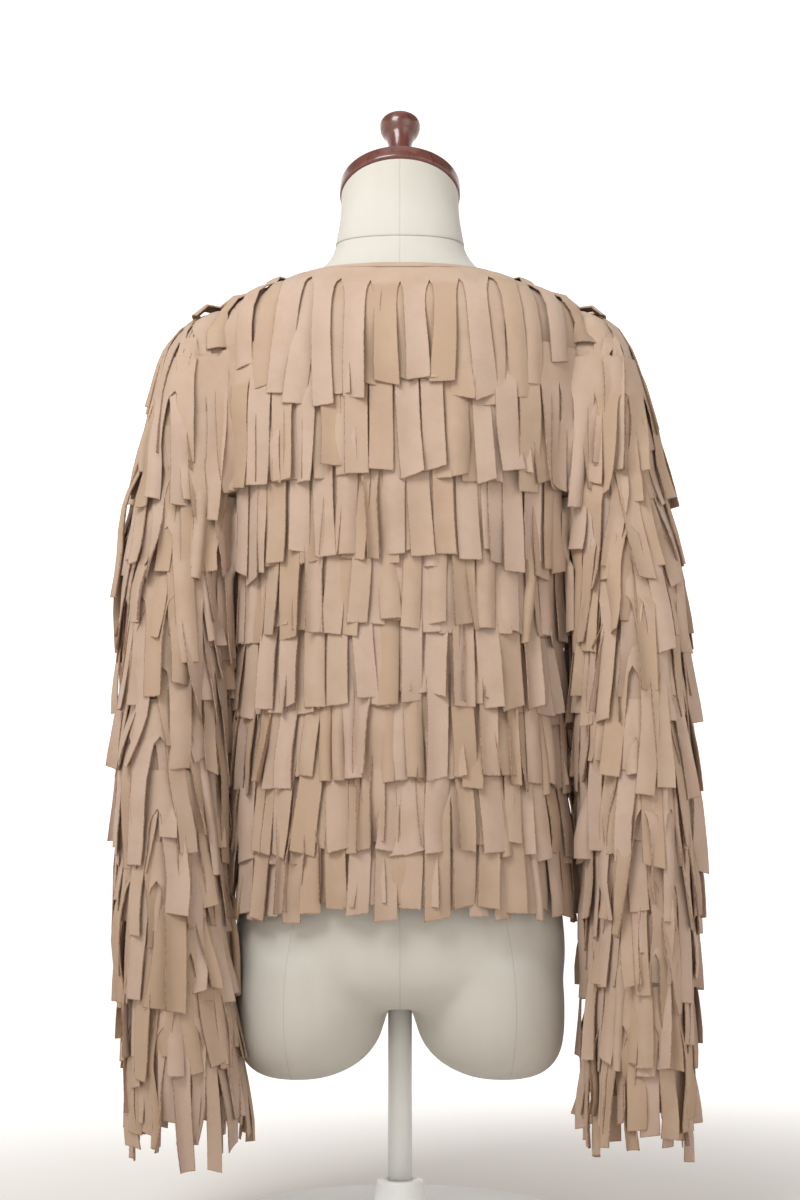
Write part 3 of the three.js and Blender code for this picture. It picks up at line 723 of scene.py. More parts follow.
def stump_rings(side, columns):
    """Rings of one thigh stump: ellipses between its inner and outer reach, narrowing to a rounded end."""
    turn = -turns_round(columns)[None, :]
    z = (STUMP["low"] + (STUMP["high"] - STUMP["low"]) * np.linspace(0, 1, 60) ** 1.8)[:, None]
    half = (STUMP_SIDES("outer", z) - STUMP_SIDES("inner", z)) / 2
    x = side * (STUMP_SIDES("inner", z) + half) + half * np.sin(turn)
    return stacked(x, STUMP["middle_y"] + STUMP_SIDES("half_depth", z) * np.cos(turn), z)


def build_form(sizes):
    """Lofts the torso and the two stumps and joins them into one padded skin by remeshing and
    smoothing. The neck is a cover of its own, sewn on at the neck's seam."""
    cotton = material(form_cotton, sizes.form_colour)
    points, faces = rings_loft(neck_rings(180))
    new_piece("neck_cover", points, faces, cotton, ["dress_form"])
    points, faces, start = [], [], 0
    for rings in (torso_rings(180), stump_rings(1, 120), stump_rings(-1, 120)):
        part_points, part_faces = rings_loft(rings)
        points.append(part_points)
        faces += [[corner + start for corner in face] for face in part_faces]
        start += len(part_points)
    rough = bpy.data.meshes.new("form_rough")
    rough.from_pydata(np.vstack(points) * MM, [], faces)
    holder = placed("form_rough", rough)
    skin = holder.modifiers.new("skin", "REMESH")
    skin.mode, skin.voxel_size, skin.use_smooth_shade = "VOXEL", sizes.skin_step, True
    ease = holder.modifiers.new("ease", "SMOOTH")
    ease.factor, ease.iterations = 0.5, 30
    bpy.context.view_layer.update()
    joined = bpy.data.meshes.new_from_object(holder.evaluated_get(bpy.context.evaluated_depsgraph_get()))
    bpy.data.objects.remove(holder)
    joined.name = "padded_form"
    joined.materials.clear()
    joined.materials.append(cotton)
    piece = placed("padded_form", joined)
    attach(piece, "root")
    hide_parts("dress_form")


def on_neck_top(points, lift):
    """Lifts points, turns them about the X axis by the neck top's slant, and sets them on it."""
    angle = math.atan(NECK_TOP["slope"])
    x, y, z = points[:, 0], points[:, 1], points[:, 2] + lift
    slanted_y = y * math.cos(angle) - z * math.sin(angle)
    slanted_z = y * math.sin(angle) + z * math.cos(angle)
    return stacked(x, slanted_y + NECK_TOP["y"], slanted_z + NECK_TOP["z"])


def build_neck_cap(sizes):
    """The turned disc on the neck's slanted top, with rounded rims, and the knob that stands on it."""
    wood = material(varnished_wood, sizes.wood_colour)
    radius, thick, edge = CAP["radius"], CAP["thickness"], CAP["edge"]
    rim = np.vstack([
        [[NEAR_AXIS, 0]], [[radius - edge, 0]],
        rounded_corner(radius - edge, edge, edge, -90, 0),
        rounded_corner(radius - edge, thick - edge, edge, 0, 90),
        [[NEAR_AXIS, thick]],
    ])
    points, faces = turned(rim, 128)
    new_piece("wooden_neck_cap", on_neck_top(points, SEAM), faces, wood, ["neck_cap"])
    side = np.linspace(1, 76, 60)
    crown = np.linspace(0.1, 1, 9) * np.pi / 2
    heights = np.concatenate([[0], side, 76 + 5.5 * np.sin(crown)])
    radii = np.concatenate([[16.2], KNOB("radius", side), 13.5 + 6 * np.cos(crown)])
    profile = np.vstack([np.stack([radii, heights], axis=1), [[6, 82.1], [NEAR_AXIS, 82.3]]])
    points, faces = turned(profile, 96)
    points = on_neck_top(points, CAP["thickness"] + 2 * SEAM)
    new_piece("turned_knob", points, faces, wood, ["neck_knob"])


def build_stand(sizes):
    """The steel disc with its rounded rim and its socket, and the tube that stands in it."""
    coat = material(powder_coat, sizes.stand_colour)
    radius, rod, socket = sizes.base_radius / MM, POLE["radius"], POLE["radius"] + SEAM
    base = np.vstack([
        [[NEAR_AXIS, 0]], [[radius - 1.5, 0]], rounded_corner(radius - 1.5, 1.5, 1.5, -90, 0, 4),
        [[radius, 4]], rounded_corner(radius - 4, 4, 4, 5, 90, 6), [[60, 9.5]], [[29, 11]],
        [[25.5, 13]], [[24, 16]], [[21.5, 37.5]], rounded_corner(19.5, 38, 2, 0, 90, 4), [[socket, 40]],
        [[socket, 6]], [[NEAR_AXIS, 6]],
    ])
    points, faces = turned(base, 128)
    new_piece("disc_base", points, faces, coat, ["stand_base"])
    foot, top = POLE["foot"], POLE["top"]
    points, faces = turned([[NEAR_AXIS, foot], [rod, foot], [rod, 120], [rod, top], [NEAR_AXIS, top]], 64)
    new_piece("stand_tube", points, faces, coat, ["stand_pole"])


# ---------------------------------------------------------------- the cut cloth under the fringe


def panel_sheet(back, columns=81, rows=110, shoulder_rows=14, least_step=0.6):
    """A body panel on a grid. Across, the turn goes from one edge to the other; up, the height goes
    from the hem to the armhole's top, and from there to the binding. Each row lies a least step below
    the next one up."""
    share = np.linspace(-1, 1, columns)
    low_rows = rows - shoulder_rows
    low = HEM_Z + (ARMHOLE["top"] - HEM_Z) * np.linspace(0, 1, low_rows)

    def turn_at(z):
        edge = panel_edge(z, back)
        return share * edge if back else np.pi - share * edge

    top = below_neckline(turn_at(ARMHOLE["top"] + 1), BINDING_WIDTH + 0.2)
    up = np.concatenate([np.zeros(low_rows), np.linspace(0, 1, shoulder_rows + 1)[1:]])
    z = np.where(up[:, None] > 0, ARMHOLE["top"] + (top - ARMHOLE["top"]) * up[:, None],
                 np.concatenate([low, np.zeros(shoulder_rows)])[:, None])
    z = np.minimum(z, top[None, :] - least_step * (rows - 1 - np.arange(rows))[:, None])
    return body_surface(turn_at(z), z).reshape(-1, 3), grid_faces(rows, columns)


def sleeve_sheet(side, columns=73):
    """A sleeve on a grid of turns and heights: an open arc beside the armhole, then a closed tube to
    the cuff."""
    head = np.concatenate([[840.8, 839.4, 837.5, 835, 832, 828], np.linspace(823, 657.5, 38)])
    tube = np.linspace(ARMHOLE["bottom"], CUFF_Z, 90)
    z = np.concatenate([head, tube])
    open_turn = np.where(z > ARMHOLE["bottom"], sleeve_section(z)["open"], np.pi)
    turn = np.linspace(-1, 1, columns)[None, :] * open_turn[:, None]
    points = sleeve_surface(side)(turn, np.broadcast_to(z[:, None], turn.shape)).reshape(-1, 3)
    faces = grid_faces(len(z), columns)
    # the tube's last column is its first
    index = np.arange(len(points)).reshape(len(z), columns)
    index[len(head):, -1] = index[len(head):, 0]
    faces = index.ravel()[faces]
    used, faces = np.unique(faces, return_inverse=True)
    return points[used], faces.reshape(-1, 4)


def cloth_numbers(points):
    """The numbers of plain cloth: one tone, and neither a strip's long edges nor its tip nearby."""
    count = len(points)
    return {"tone": np.full(count, PLAIN_TONE), "side": np.zeros(count), "tip": np.full(count, 50.0)}


def cloth_piece(name, points, faces, middle, node, sizes):
    """A panel or a sleeve from its sheet, which is turned to face away from the middle."""
    thickness = sizes.cloth_thickness / MM * PANEL_THICKNESS
    both, solid_faces, sharp = thicken(points, facing_out(points, faces, middle), thickness)
    cloth = material(brushed_cloth, sizes.cloth_colour)
    new_piece(name, both, solid_faces, cloth, [node], sharp=sharp, numbers=cloth_numbers(both))


def neck_tape(sizes, along=200, around=14):
    """The binding: a ring of rounded profiles over the neckline. Round each profile, a cosine goes down
    the cloth and back, and a sine stands off from it."""
    angle = turns_round(around)
    turn = np.repeat(turns_round(along), around)
    down = BINDING_WIDTH / 2 - 2.9 * signed_power(np.cos(angle), 0.6)
    lift = 1.3 * signed_power(np.sin(angle), 0.7) + 1.1
    z = below_neckline(turn, np.tile(down, along).clip(0.05))
    out = outward_of(body_surface, turn, z, stacked(0, 0, z))
    points = body_surface(turn, z) + out * np.tile(lift, along)[:, None]
    first = np.arange(around)
    last = (along - 1) * around + first
    close = np.stack([last, np.roll(last, -1), np.roll(first, -1), first], axis=1)
    faces = np.vstack([grid_faces(along, around, True), close])[:, ::-1]
    cloth = material(brushed_cloth, sizes.cloth_colour)
    new_piece("neck_tape", points, faces, cloth, ["neck_binding"], numbers=cloth_numbers(points))


def build_panels(sizes):
    """The back, the front and the binding round the neckline."""
    for name, back in (("back", True), ("front", False)):
        cloth_piece(f"{name}_cloth", *panel_sheet(back), (0, 0, 0), f"{name}_panel", sizes)
    neck_tape(sizes)


def facing_out(points, faces, middle):
    """Turns all the faces over if most of them point towards the middle."""
    centre = points[faces].mean(axis=1)
    normal = np.cross(points[faces[:, 2]] - points[faces[:, 0]], points[faces[:, 3]] - points[faces[:, 1]])
    away = centre - np.asarray(middle, float) * [1, 1, 0]
    away[:, 2] = 0
    return faces if (np.sum(normal * away, axis=1) > 0).mean() > 0.5 else faces[:, ::-1]


def build_sleeves(sizes):
    """The two sleeves, each a sheet round its own middle."""
    for hand, side in (("left", 1), ("right", -1)):
        middle = (side * 215, 10, 0)
        cloth_piece(f"{hand}_sleeve_cloth", *sleeve_sheet(side), middle, f"sleeve_{hand}", sizes)


# ---------------------------------------------------------------- fringe


class Cover:
    """Close points on the cloth that fringe can lie on, each with its outward direction."""

    def __init__(self):
        turn, z = (grid.ravel() for grid in np.meshgrid(turns_round(150), np.arange(290, 879, 7.0)))
        inside_sleeve = beside_armhole(z) & (np.abs(np.sin(turn)) > np.sin(panel_edge(z, True)) + 0.01)
        keep = (z < neckline_z(turn) - 3) & ~inside_sleeve
        turn, z = turn[keep], z[keep]
        points = [body_surface(turn, z)]
        outward = [outward_of(body_surface, turn, z, stacked(0, 0, z))]
        levels = np.concatenate([np.arange(60, 823, 7.0), np.arange(824, 841, 2.5)])
        share, z = (grid.ravel() for grid in np.meshgrid(np.linspace(-1, 1, 60), levels))
        section = sleeve_section(np.maximum(z, CUFF_Z))
        turn = share * section["open"]
        for side in (1, -1):
            surface = sleeve_surface(side)
            points.append(surface(turn, z))
            middle = stacked(side * section["x"], section["y"], z)
            outward.append(outward_of(surface, turn, z, middle))
        self.points, self.outward = np.vstack(points), np.vstack(outward)

    def near(self, low, high):
        """The points between two heights, and their directions."""
        keep = (self.points[:, 2] > low) & (self.points[:, 2] < high)
        return self.points[keep], self.outward[keep]


def rest(p, clearance, cover):
    """Pushes points out to their clearance from the cloth: the distance is measured along the outward
    direction of the nearest point of the cloth. Returns the points and those directions."""
    points, outward = cover
    for _ in range(2):
        square = (p ** 2).sum(1)[:, None] - 2 * p @ points.T + (points ** 2).sum(1)[None, :]
        nearest = square.argmin(axis=1)
        direction = outward[nearest]
        distance = np.sum((p - points[nearest]) * direction, axis=1)
        p = p + direction * np.maximum(clearance - distance, 0)[:, None]
    return p, direction


BAND_STEPS = 4  # down the uncut band
STRIP_STEPS = 18  # and from there down the strip
STATIONS = np.array([0, 2, 4, 5, 6, 8, 10, 13, 16, 19, 22])  # the steps that have a cross-section
BAND_ROWS = 3  # how many of them lie in the band
COLUMNS = 5  # how many points a cross-section has
DOWN = np.array([0, 0, -1.0])


def hang(roots, band, length, clearance, lean, cover):
    """Centrelines of strips. Each goes down from its root in equal steps, first through the uncut band
    and then along the strip, leaning sideways more towards its tip; the cloth under it pushes it out,
    and every step keeps its length. Returns the points, the outward directions and how far along each
    one is."""
    p, out = rest(roots, clearance(np.zeros(len(roots))), cover)
    points, outs, gone = [p], [out], [np.zeros(len(roots))]
    for step in range(BAND_STEPS + STRIP_STEPS):
        in_band = step < BAND_STEPS
        size = np.full(len(roots), band / BAND_STEPS) if in_band else length / STRIP_STEPS
        share = 0 if in_band else (step - BAND_STEPS + 1) / STRIP_STEPS
        sideways = unit(np.cross(out, DOWN))
        direction = unit(DOWN + sideways * (lean * share)[:, None])
        moved = gone[-1] + size
        q, out = rest(p + direction * size[:, None], clearance(moved), cover)
        p = p + unit(q - p) * size[:, None]
        points.append(p)
        outs.append(out)
        gone.append(moved)
    return np.array(points).transpose(1, 0, 2), np.array(outs).transpose(1, 0, 2), np.array(gone).T


def strips(roots, closed, style, cover, seed):
    """One layer of fringe as a sheet: a band, cut from its lower edge into strips. At each station a
    strip's cross-section is an arc of its own curl, turned about the centreline by its own twist.
    Neighbours share their edge points in the band, so that the slits start there."""
    rng = np.random.default_rng(seed)
    count = len(roots)

    def spread(scale):
        """A draw for each strip from a bell curve, at most 2.2 times the scale."""
        return np.clip(rng.normal(0, 1, count), -2.2, 2.2) * scale

    # strips of the top row grow longer, and lie flatter, towards the shoulders
    outwards = np.clip(np.abs(roots[:, 0]) / 100, 0, 1) ** 2 if style["longer"] else np.zeros(count)
    length = style["strip"] * (1 + spread(style["uneven"])) + style["longer"] * outwards * (1.2 - outwards)
    rise = (style["flare"] + np.abs(spread(style["lift"])) / 100) * (1 - 0.15 * outwards)
    highest = 9 - 5.5 * outwards ** 2

    def clearance(gone):
        """How far strips stand off the cloth at their distances from the root."""
        return style["clearance"] + np.minimum(rise * gone, highest)

    centre, out, gone = hang(roots, style["band"], length, clearance, spread(style["lean"]), cover)
    along = unit(np.gradient(centre, axis=1))
    centre, out, along, gone = (a[:, STATIONS] for a in (centre, out, along, gone))
    if closed:
        next_root = np.roll(centre, -1, axis=0)
    else:
        next_root = np.vstack([centre[1:], 2 * centre[-1:] - centre[-2:-1]])

    # across and out are at right angles to the strip, towards its neighbour and away from the cloth
    across = unit(np.cross(out, along))
    towards = np.sum(across[:, :1] * (next_root - centre)[:, :1], axis=-1, keepdims=True)
    across *= np.where(towards < 0, -1, 1)
    out = unit(np.cross(across, along))
    if np.sum(out[:, 0] * rest(centre[:, 0], 0, cover)[1]) < 0:
        out = -out

    # half a strip's width: it fills the band, and narrows below its slits
    share = np.clip((gone - style["band"]) / length[:, None], 0, 1)
    step = np.linalg.norm(next_root - centre, axis=-1)
    before = np.roll(step, 1, axis=0) if closed else np.vstack([step[:1], step[:-1]])
    pitch = (step + before)[:, BAND_ROWS - 1:BAND_ROWS] / 2
    narrow = np.minimum(style["width"] / 2, pitch * 0.46) * (1 + spread(style["varied"])[:, None])
    narrow = narrow * (1 + style["widening"] * share)
    opening = np.exp(-np.maximum(gone - style["band"], 0) / 9)
    half = np.where(share > 0, narrow + (pitch / 2 - narrow) * opening, (step + before) / 4)

    twist = (spread(style["twist"]) * (1 - 0.8 * outwards))[:, None] * share ** 1.4
    rolled = rng.random(count) < style["rolled"]
    curling = np.minimum(share * 2.2, 1)
    curl = (spread(style["curl"]) + np.where(rolled, np.sign(spread(1)) * 1.7, 0))[:, None] * curling
    curl = curl * (1 - outwards)[:, None] - 0.6 * outwards[:, None] * curling
    sway = spread(style["sway"])[:, None] * np.sin(share * np.pi * rng.uniform(0.8, 2.2, count)[:, None])
    wave = spread(style["wave"])[:, None] * np.sin(share * np.pi * rng.uniform(1, 2.4, count)[:, None])
    slope = np.tan(spread(math.radians(8)))[:, None] * (share > 0.999)

    # the arc of each cross-section, on its chord and above it
    t = np.linspace(-1, 1, COLUMNS)
    bend = np.where(np.abs(curl) < 1e-3, 1e-3, curl)[..., None]
    flat = half[..., None] * np.sin(bend * t) / bend
    raised = half[..., None] * (1 - np.cos(bend * t)) / bend
    raised = raised - half[..., None] * (1 - np.cos(bend * 0.5)) / bend
    cos, sin = np.cos(twist)[..., None, None], np.sin(twist)[..., None, None]
    side = across[:, :, None] * cos + out[:, :, None] * sin
    front = out[:, :, None] * cos - across[:, :, None] * sin
    points = centre[:, :, None] + side * (flat + sway[..., None])[..., None]
    points = points + front * (raised + wave[..., None])[..., None]
    points = points + along[:, :, None] * (flat * slope[..., None])[..., None]

    # neighbours are joined half way between their edges in the band
    index = np.arange(count * len(STATIONS) * COLUMNS).reshape(count, len(STATIONS), COLUMNS)
    here = np.arange(count if closed else count - 1)
    after = (here + 1) % count
    points[here, :BAND_ROWS, -1] = (points[here, :BAND_ROWS, -1] + points[after, :BAND_ROWS, 0]) / 2
    index[after, :BAND_ROWS, 0] = index[here, :BAND_ROWS, -1]
    corners = index[:, :-1, :-1], index[:, 1:, :-1], index[:, 1:, 1:], index[:, :-1, 1:]
    used, faces = np.unique(np.stack(corners, axis=-1).reshape(-1, 4), return_inverse=True)

    cut = share[..., None] > 0
    tone = np.where(cut, rng.random(count)[:, None, None], np.full(COLUMNS, UNCUT_TONE))
    tip = np.broadcast_to(((1 - share) * length[:, None])[..., None], flat.shape)
    numbers = {"tone": tone, "side": np.abs(t) * cut, "tip": tip}
    numbers = {key: values.ravel()[used] for key, values in numbers.items()}
    return points.reshape(-1, 3)[used], faces.reshape(-1, 4), numbers, out[:, 0].reshape(-1, 3)


def fringe_piece(name, layers, node, sizes):
    """Joins layers of strips into one piece, each with a thickness of its own."""
    points, faces, sharp, numbers, start = [], [], [], [], 0
    for sheet_points, sheet_faces, sheet_numbers, outs in layers:
        corner = [sheet_points[sheet_faces[:, k]] for k in range(4)]
        normal = np.cross(corner[2] - corner[0], corner[3] - corner[1])
        first = np.arange(0, len(sheet_faces), len(sheet_faces) // len(outs))[:len(outs)]
        if np.sum(normal[first] * outs) < 0:
            sheet_faces = sheet_faces[:, ::-1]
        both, solid, rims = thicken(sheet_points, sheet_faces, sizes.cloth_thickness / MM)
        points.append(both)
        faces.append(solid + start)
        sharp.append(rims + start)
        numbers.append(sheet_numbers)
        start += len(both)
    joined = {key: np.concatenate([np.tile(layer[key], 2) for layer in numbers]) for key in numbers[0]}
    cloth = material(brushed_cloth, sizes.cloth_colour)
    new_piece(name, np.vstack(points), np.vstack(faces), cloth, [node], sharp=np.vstack(sharp),
              numbers=joined)


def even_line(surface, turns, heights, pitch, closed, shift):
    """Points at equal distances along a line on a surface, given by many turns and heights; shift moves
    them by a share of their spacing."""
    line = surface(turns, heights)
    run = np.concatenate([[0], np.cumsum(np.linalg.norm(np.diff(line, axis=0), axis=1))])
    count = max(int(round(run[-1] / pitch)), 2)
    at = (np.arange(count) + (0.25 if closed else 0.5) + shift) / count
    at = at % 1 if closed else at[at < 1]
    return np.stack([np.interp(at * run[-1], run, line[:, k]) for k in range(3)], axis=1)


def stacked_layers(surface, turns, heights, closed, style, cover, seed):
    """Layers of strips one over the other, each shifted by an equal share of a strip and standing off
    more."""
    layers = []
    for layer in range(style["layers"]):
        shift = (layer + 0.5) / style["layers"] - 0.5
        roots = even_line(surface, turns, heights, style["pitch"], closed, shift)
        own = dict(style, clearance=style["clearance"] + layer * style["layer"],
                   flare=style["flare"] + layer * style["opening"])
        layers.append(strips(roots, closed, own, cover, seed * 10 + layer))
    return layers


# How a row's fringe is cut and falls, with lengths in millimetres and angles in radians:
# - band, strip: how deep its uncut band is, and how long its strips are
# - pitch, width, widening: from strip to strip, across a strip, and how much wider its tip is
# - layers: how many there are
# - clearance, flare: how far a strip stands off at its root, and for each millimetre down
# - layer, opening: how much more of these two each further layer has
# - uneven, varied, lift, lean: how far single strips differ in length, in width, in flare (in hundredths) and
#   in their sideways lean
# - twist, curl, wave, sway: how far they turn and roll, and wave out from the cloth and along it
# - rolled: the share of strips that roll up more
# - longer: what is added to strips towards the shoulders
CALM = {
    "layers": 2, "clearance": 1.6, "layer": 1.5, "flare": 0.048, "opening": 0.018, "band": 34, "strip": 100,
    "pitch": 21.5, "width": 19.5, "widening": 0.08, "varied": 0.1, "uneven": 0.045, "lift": 1.8,
    "lean": 0.055, "twist": 0.24, "curl": 0.42, "rolled": 0.05, "wave": 1.0, "sway": 0.6, "longer": 0,
}
TOP_ROW = dict(CALM, pitch=25.5, width=18.2, widening=0.25, clearance=1.2, layer=1.2, flare=0.062, lift=1.6,
               longer=75)
LIVELY = dict(CALM, layers=3, pitch=21, width=16.8, varied=0.14, uneven=0.12, lift=3.6, lean=0.075,
              twist=0.5, curl=0.65, rolled=0.12, wave=1.6, sway=1.6, flare=0.012, opening=0.012, layer=1.4)


def styled(style, sizes, **changes):
    """A style with the lengths and widths that the sidebar gives."""
    strip = style["strip"] * (sizes.strip_length / MM / 100)
    return dict(style, strip=strip, width=style["width"] * sizes.strip_width / USUAL_STRIP_WIDTH, **changes)


def build_body_fringe(sizes):
    """The rows on the body: the top one follows the neckline, the next ones end at the armholes on the
    back and the front, and the rest go right round."""
    cover = Cover()
    turns = np.linspace(0, 2 * np.pi, 721)
    style = styled(TOP_ROW, sizes, band=TOP_RING["band"])
    style["strip"] = style["strip"] * TOP_RING["strip"] / 100
    top = below_neckline(turns, BINDING_WIDTH + 1.5)
    layers = stacked_layers(body_surface, turns, top, True, style, cover.near(700, 890), 1)
    fringe_piece("body_fringe_1", layers, "fringe_body_1", sizes)
    for row, slit in enumerate(BODY_ROWS):
        number = row + 2
        style = styled(CALM, sizes)
        near = cover.near(slit - 130, slit + 90)
        if row < OPEN_ROWS:
            for name, back in (("back", True), ("front", False)):
                edge = float(panel_edge(np.array(slit + style["band"]), back)) - 0.03
                line = np.linspace(-edge, edge, 361) + (0 if back else np.pi)
                height = slit + style["band"] - BODY_DIP * np.sin(line) ** 2
                seed = 20 + number * 2 + back
                layers = stacked_layers(body_surface, line, height, False, style, near, seed)
                fringe_piece(f"body_fringe_{number}_{name}", layers, f"fringe_body_{number}_{name}", sizes)
        else:
            if number == 6:  # this row is narrower and curls more
                style.update(width=style["width"] * 0.86, curl=0.8, rolled=0.3, twist=0.3)
            height = slit + style["band"] - BODY_DIP * np.sin(turns) ** 2
            layers = stacked_layers(body_surface, turns, height, True, style, near, 40 + number)
            fringe_piece(f"body_fringe_{number}", layers, f"fringe_body_{number}", sizes)


def build_sleeve_fringe(sizes):
    """The rows on the sleeves. Those beside the armhole are open lines over the sleeve head, and the
    top one of them lies closer and drops towards its ends; the rest go right round."""
    cover = Cover()
    share = np.linspace(-1, 1, 361)
    for hand, side in (("left", 1), ("right", -1)):
        surface = sleeve_surface(side)
        for row in range(SLEEVE_ROWS["count"]):
            style = styled(LIVELY, sizes)
            slit = SLEEVE_ROWS["top"] - SLEEVE_ROWS["spacing"] * row
            top = min(slit + style["band"], 838)
            style["band"] = max(top - slit, 14)
            head = top > ARMHOLE["bottom"]
            height = top - (0 if row else SLEEVE_ROWS["drop"]) * share * share
            line = share * np.pi
            if head:
                line = share * sleeve_section(height)["open"] * (0.97 if row else 0.9)
            if row == 0:
                style.update(clearance=0.6, layer=0.7, lift=2.2)
            near = cover.near(slit - 180, slit + 80)
            seed = 200 + row * 2 + (side > 0)
            layers = stacked_layers(surface, line, height, not head, style, near, seed)
            fringe_piece(f"{hand}_sleeve_fringe_{row + 1}", layers, f"fringe_{hand}_{row + 1}", sizes)


def declare_cloth():
    """Gathers the pieces of cloth row by row and works out each panel's cut size, but keeps none of it."""
    pieces = bpy.data.objects
    rings = [pieces["neck_tape"], pieces["body_fringe_1"]]
    rings += [pieces[f"body_fringe_{n}"] for n in range(4, 9)]
    for name, extra in (("back", rings), ("front", [])):
        rows = [pieces[f"body_fringe_{n}_{name}"] for n in (2, 3)]
        width, length = (0.47, 0.56) if name == "back" else (0.5, 0.56)
        width * length * 0.85
        rows + extra
    for hand in ("left", "right"):
        rows = [pieces[f"{hand}_sleeve_fringe_{n}"] for n in range(1, SLEEVE_ROWS["count"] + 1)]


# ---------------------------------------------------------------- the studio


SENSOR = 36  # the height of the camera's sensor, in millimetres
FRAME_HEIGHT = 1200  # of the finished picture, in pixels
MM_PER_PIXEL = 0.93  # at the middle of the form
FRAME_MIDDLE_Z = 0.572  # the height that the camera is aimed at, in metres


def build_studio(studio):
    """A pale floor that curves up all round, soft lights and the camera. Here the lengths are in metres."""
    angle = np.linspace(0, np.pi / 2, 16)[1:]
    curve = np.stack([5 + 1.5 * np.sin(angle), 1.5 - 1.5 * np.cos(angle)], axis=1)
    profile = np.vstack([[[0.01, 0]], [[1.0, 0]], [[5.0, 0]], curve, [[6.5, 4]]])
    points, faces = turned(profile, 96)
    keep = [face for face in faces if len(points) - 1 not in face]
    mesh = bpy.data.meshes.new("studio_floor")
    mesh.from_pydata(points - [0, 0, 0.0005], [], keep)
    mesh.polygons.foreach_set("use_smooth", np.full(len(mesh.polygons), True))
    paper = Finish("studio_paper", Roughness=0.9, Specular_IOR_Level=0.1, Emission_Strength=1.0)
    _, x, y, _ = paper.coordinates()
    paper.give("Base Color", tuple(studio.floor_colour) + (1.0,))
    far = paper.ramp(x * x + y * y, -0.3, 0.9) * (0.75 + paper.ramp(y, 0.5, -2) * 0.25)
    glow = (studio.backdrop_glow,) * 3 + (1.0,)
    paper.give("Emission Color", paper.mix(far, (0, 0, 0, 1), glow))
    mesh.materials.append(paper.material)
    floor = placed("studio_floor", mesh)
    floor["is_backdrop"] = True
    # for each light: its place, the height it is aimed at, its size, its spread and its share of the power
    lights = (
        ("key", (0.8, 1.25, 2.1), 0.95, 1.0, 90, 0.8), ("fill", (-1.5, 1.7, 1.9), 0.9, 1.4, 110, 0.2),
        ("top", (0, -0.1, 2.3), 0.75, 1.2, 180, 0.25), ("front", (0.4, -2.4, 2.2), 0.75, 1.8, 180, 0.4),
    )
    for name, place, target, size, spread, share in lights:
        light = bpy.data.lights.new(name, "AREA")
        light.shape, light.size, light.energy = "SQUARE", size, studio.light_power * share
        light.color = studio.light_colour
        light.spread = math.radians(spread)
        point_at(placed(name, light), place, (0, 0, target))
    world = bpy.data.worlds.new("studio_air")
    world.use_nodes = True
    background = world.node_tree.nodes["Background"]
    background.inputs[0].default_value = (1, 1, 1, 1)
    background.inputs[1].default_value = studio.air_light
    bpy.context.scene.world = world
    camera = bpy.data.cameras.new("camera")
    camera.lens = SENSOR * studio.camera_distance / MM / MM_PER_PIXEL / FRAME_HEIGHT
    camera.dof.use_dof = False
    holder = placed("camera", camera)
    point_at(holder, (0, studio.camera_distance, studio.camera_height), (0, 0, FRAME_MIDDLE_Z))
    bpy.context.scene.camera = holder
    bpy.context.scene.view_settings.view_transform = "Standard"


def point_at(holder, place, target):
    """Sets a lamp or a camera at a place, and aims it."""
    holder.location = place
    holder.rotation_euler = (Vector(target) - Vector(place)).to_track_quat("-Z", "Y").to_euler()


# ---------------------------------------------------------------- the add-on


def a_colour(name, description, default):
    """A colour in the sidebar."""
    return bpy.props.FloatVectorProperty(
        name=name, description=description, subtype="COLOR", size=3, min=0, max=1, default=default)


def a_length(name, description, default, **limits):
    """A length in the sidebar, in metres."""
    return bpy.props.FloatProperty(
        name=name, description=description, default=default, unit="LENGTH", **limits)


class FringedTopCloth(bpy.types.PropertyGroup):
    cloth_colour: a_colour("Cloth colour", "Colour of all the garment's cloth", srgb(181, 156, 137)[:3])
    strip_length: a_length("Strip length", "Length of a fringe strip below its slit", 0.1, min=0.05, max=0.13)
    strip_width: a_length("Strip width", "Width of a fringe strip", USUAL_STRIP_WIDTH, min=0.012, max=0.026)
    cloth_thickness: a_length(
        "Cloth thickness", "Thickness of the fringe cloth", 0.0009, min=0.0004, max=0.002)


class FringedTopForm(bpy.types.PropertyGroup):
    form_colour: a_colour("Cover colour", "Colour of the form's cotton cover", srgb(192, 186, 176)[:3])
    wood_colour: a_colour("Wood colour", "Colour of the neck cap and the knob", srgb(98, 57, 48)[:3])
    stand_colour: a_colour("Stand colour", "Colour of the stand's powder coat", srgb(222, 221, 217)[:3])
    skin_step: a_length("Skin step", "Size of the faces of the form's skin", 0.0036, min=0.003, max=0.01)
    base_radius: a_length(
        "Base radius", "Radius of the stand's disc", float(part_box("stand_base")[1][0]), min=0.1, max=0.3)


class FringedTopStudio(bpy.types.PropertyGroup):
    floor_colour: a_colour("Floor colour", "Colour of the floor and its backdrop", (0.8, 0.75, 0.7))
    light_colour: a_colour("Light colour", "Colour of the lamps", (0.93, 0.98, 1.0))
    light_power: bpy.props.FloatProperty(
        name="Light power", description="Power that the lamps share, in watts", default=14.4, min=0,
        subtype="POWER")
    air_light: bpy.props.FloatProperty(
        name="Air light", description="Strength of the even light from all round", default=0.12, min=0,
        subtype="FACTOR")
    backdrop_glow: bpy.props.FloatProperty(
        name="Backdrop glow", description="How much light the far backdrop gives off", default=0.68, min=0,
        max=1, subtype="FACTOR")
    camera_distance: a_length("Camera distance", "From the camera to the middle of the form", 2.2, min=1)
    camera_height: a_length("Camera height", "Height of the camera above the floor", 0.42)


class FRINGED_TOP_OT_form(bpy.types.Operator):
    """Build the padded dress form"""
    bl_idname = "fringed_top.form"
    bl_label = "Dress form"

    def execute(self, context):
        build_form(context.scene.fringed_top_form)
        return {"FINISHED"}


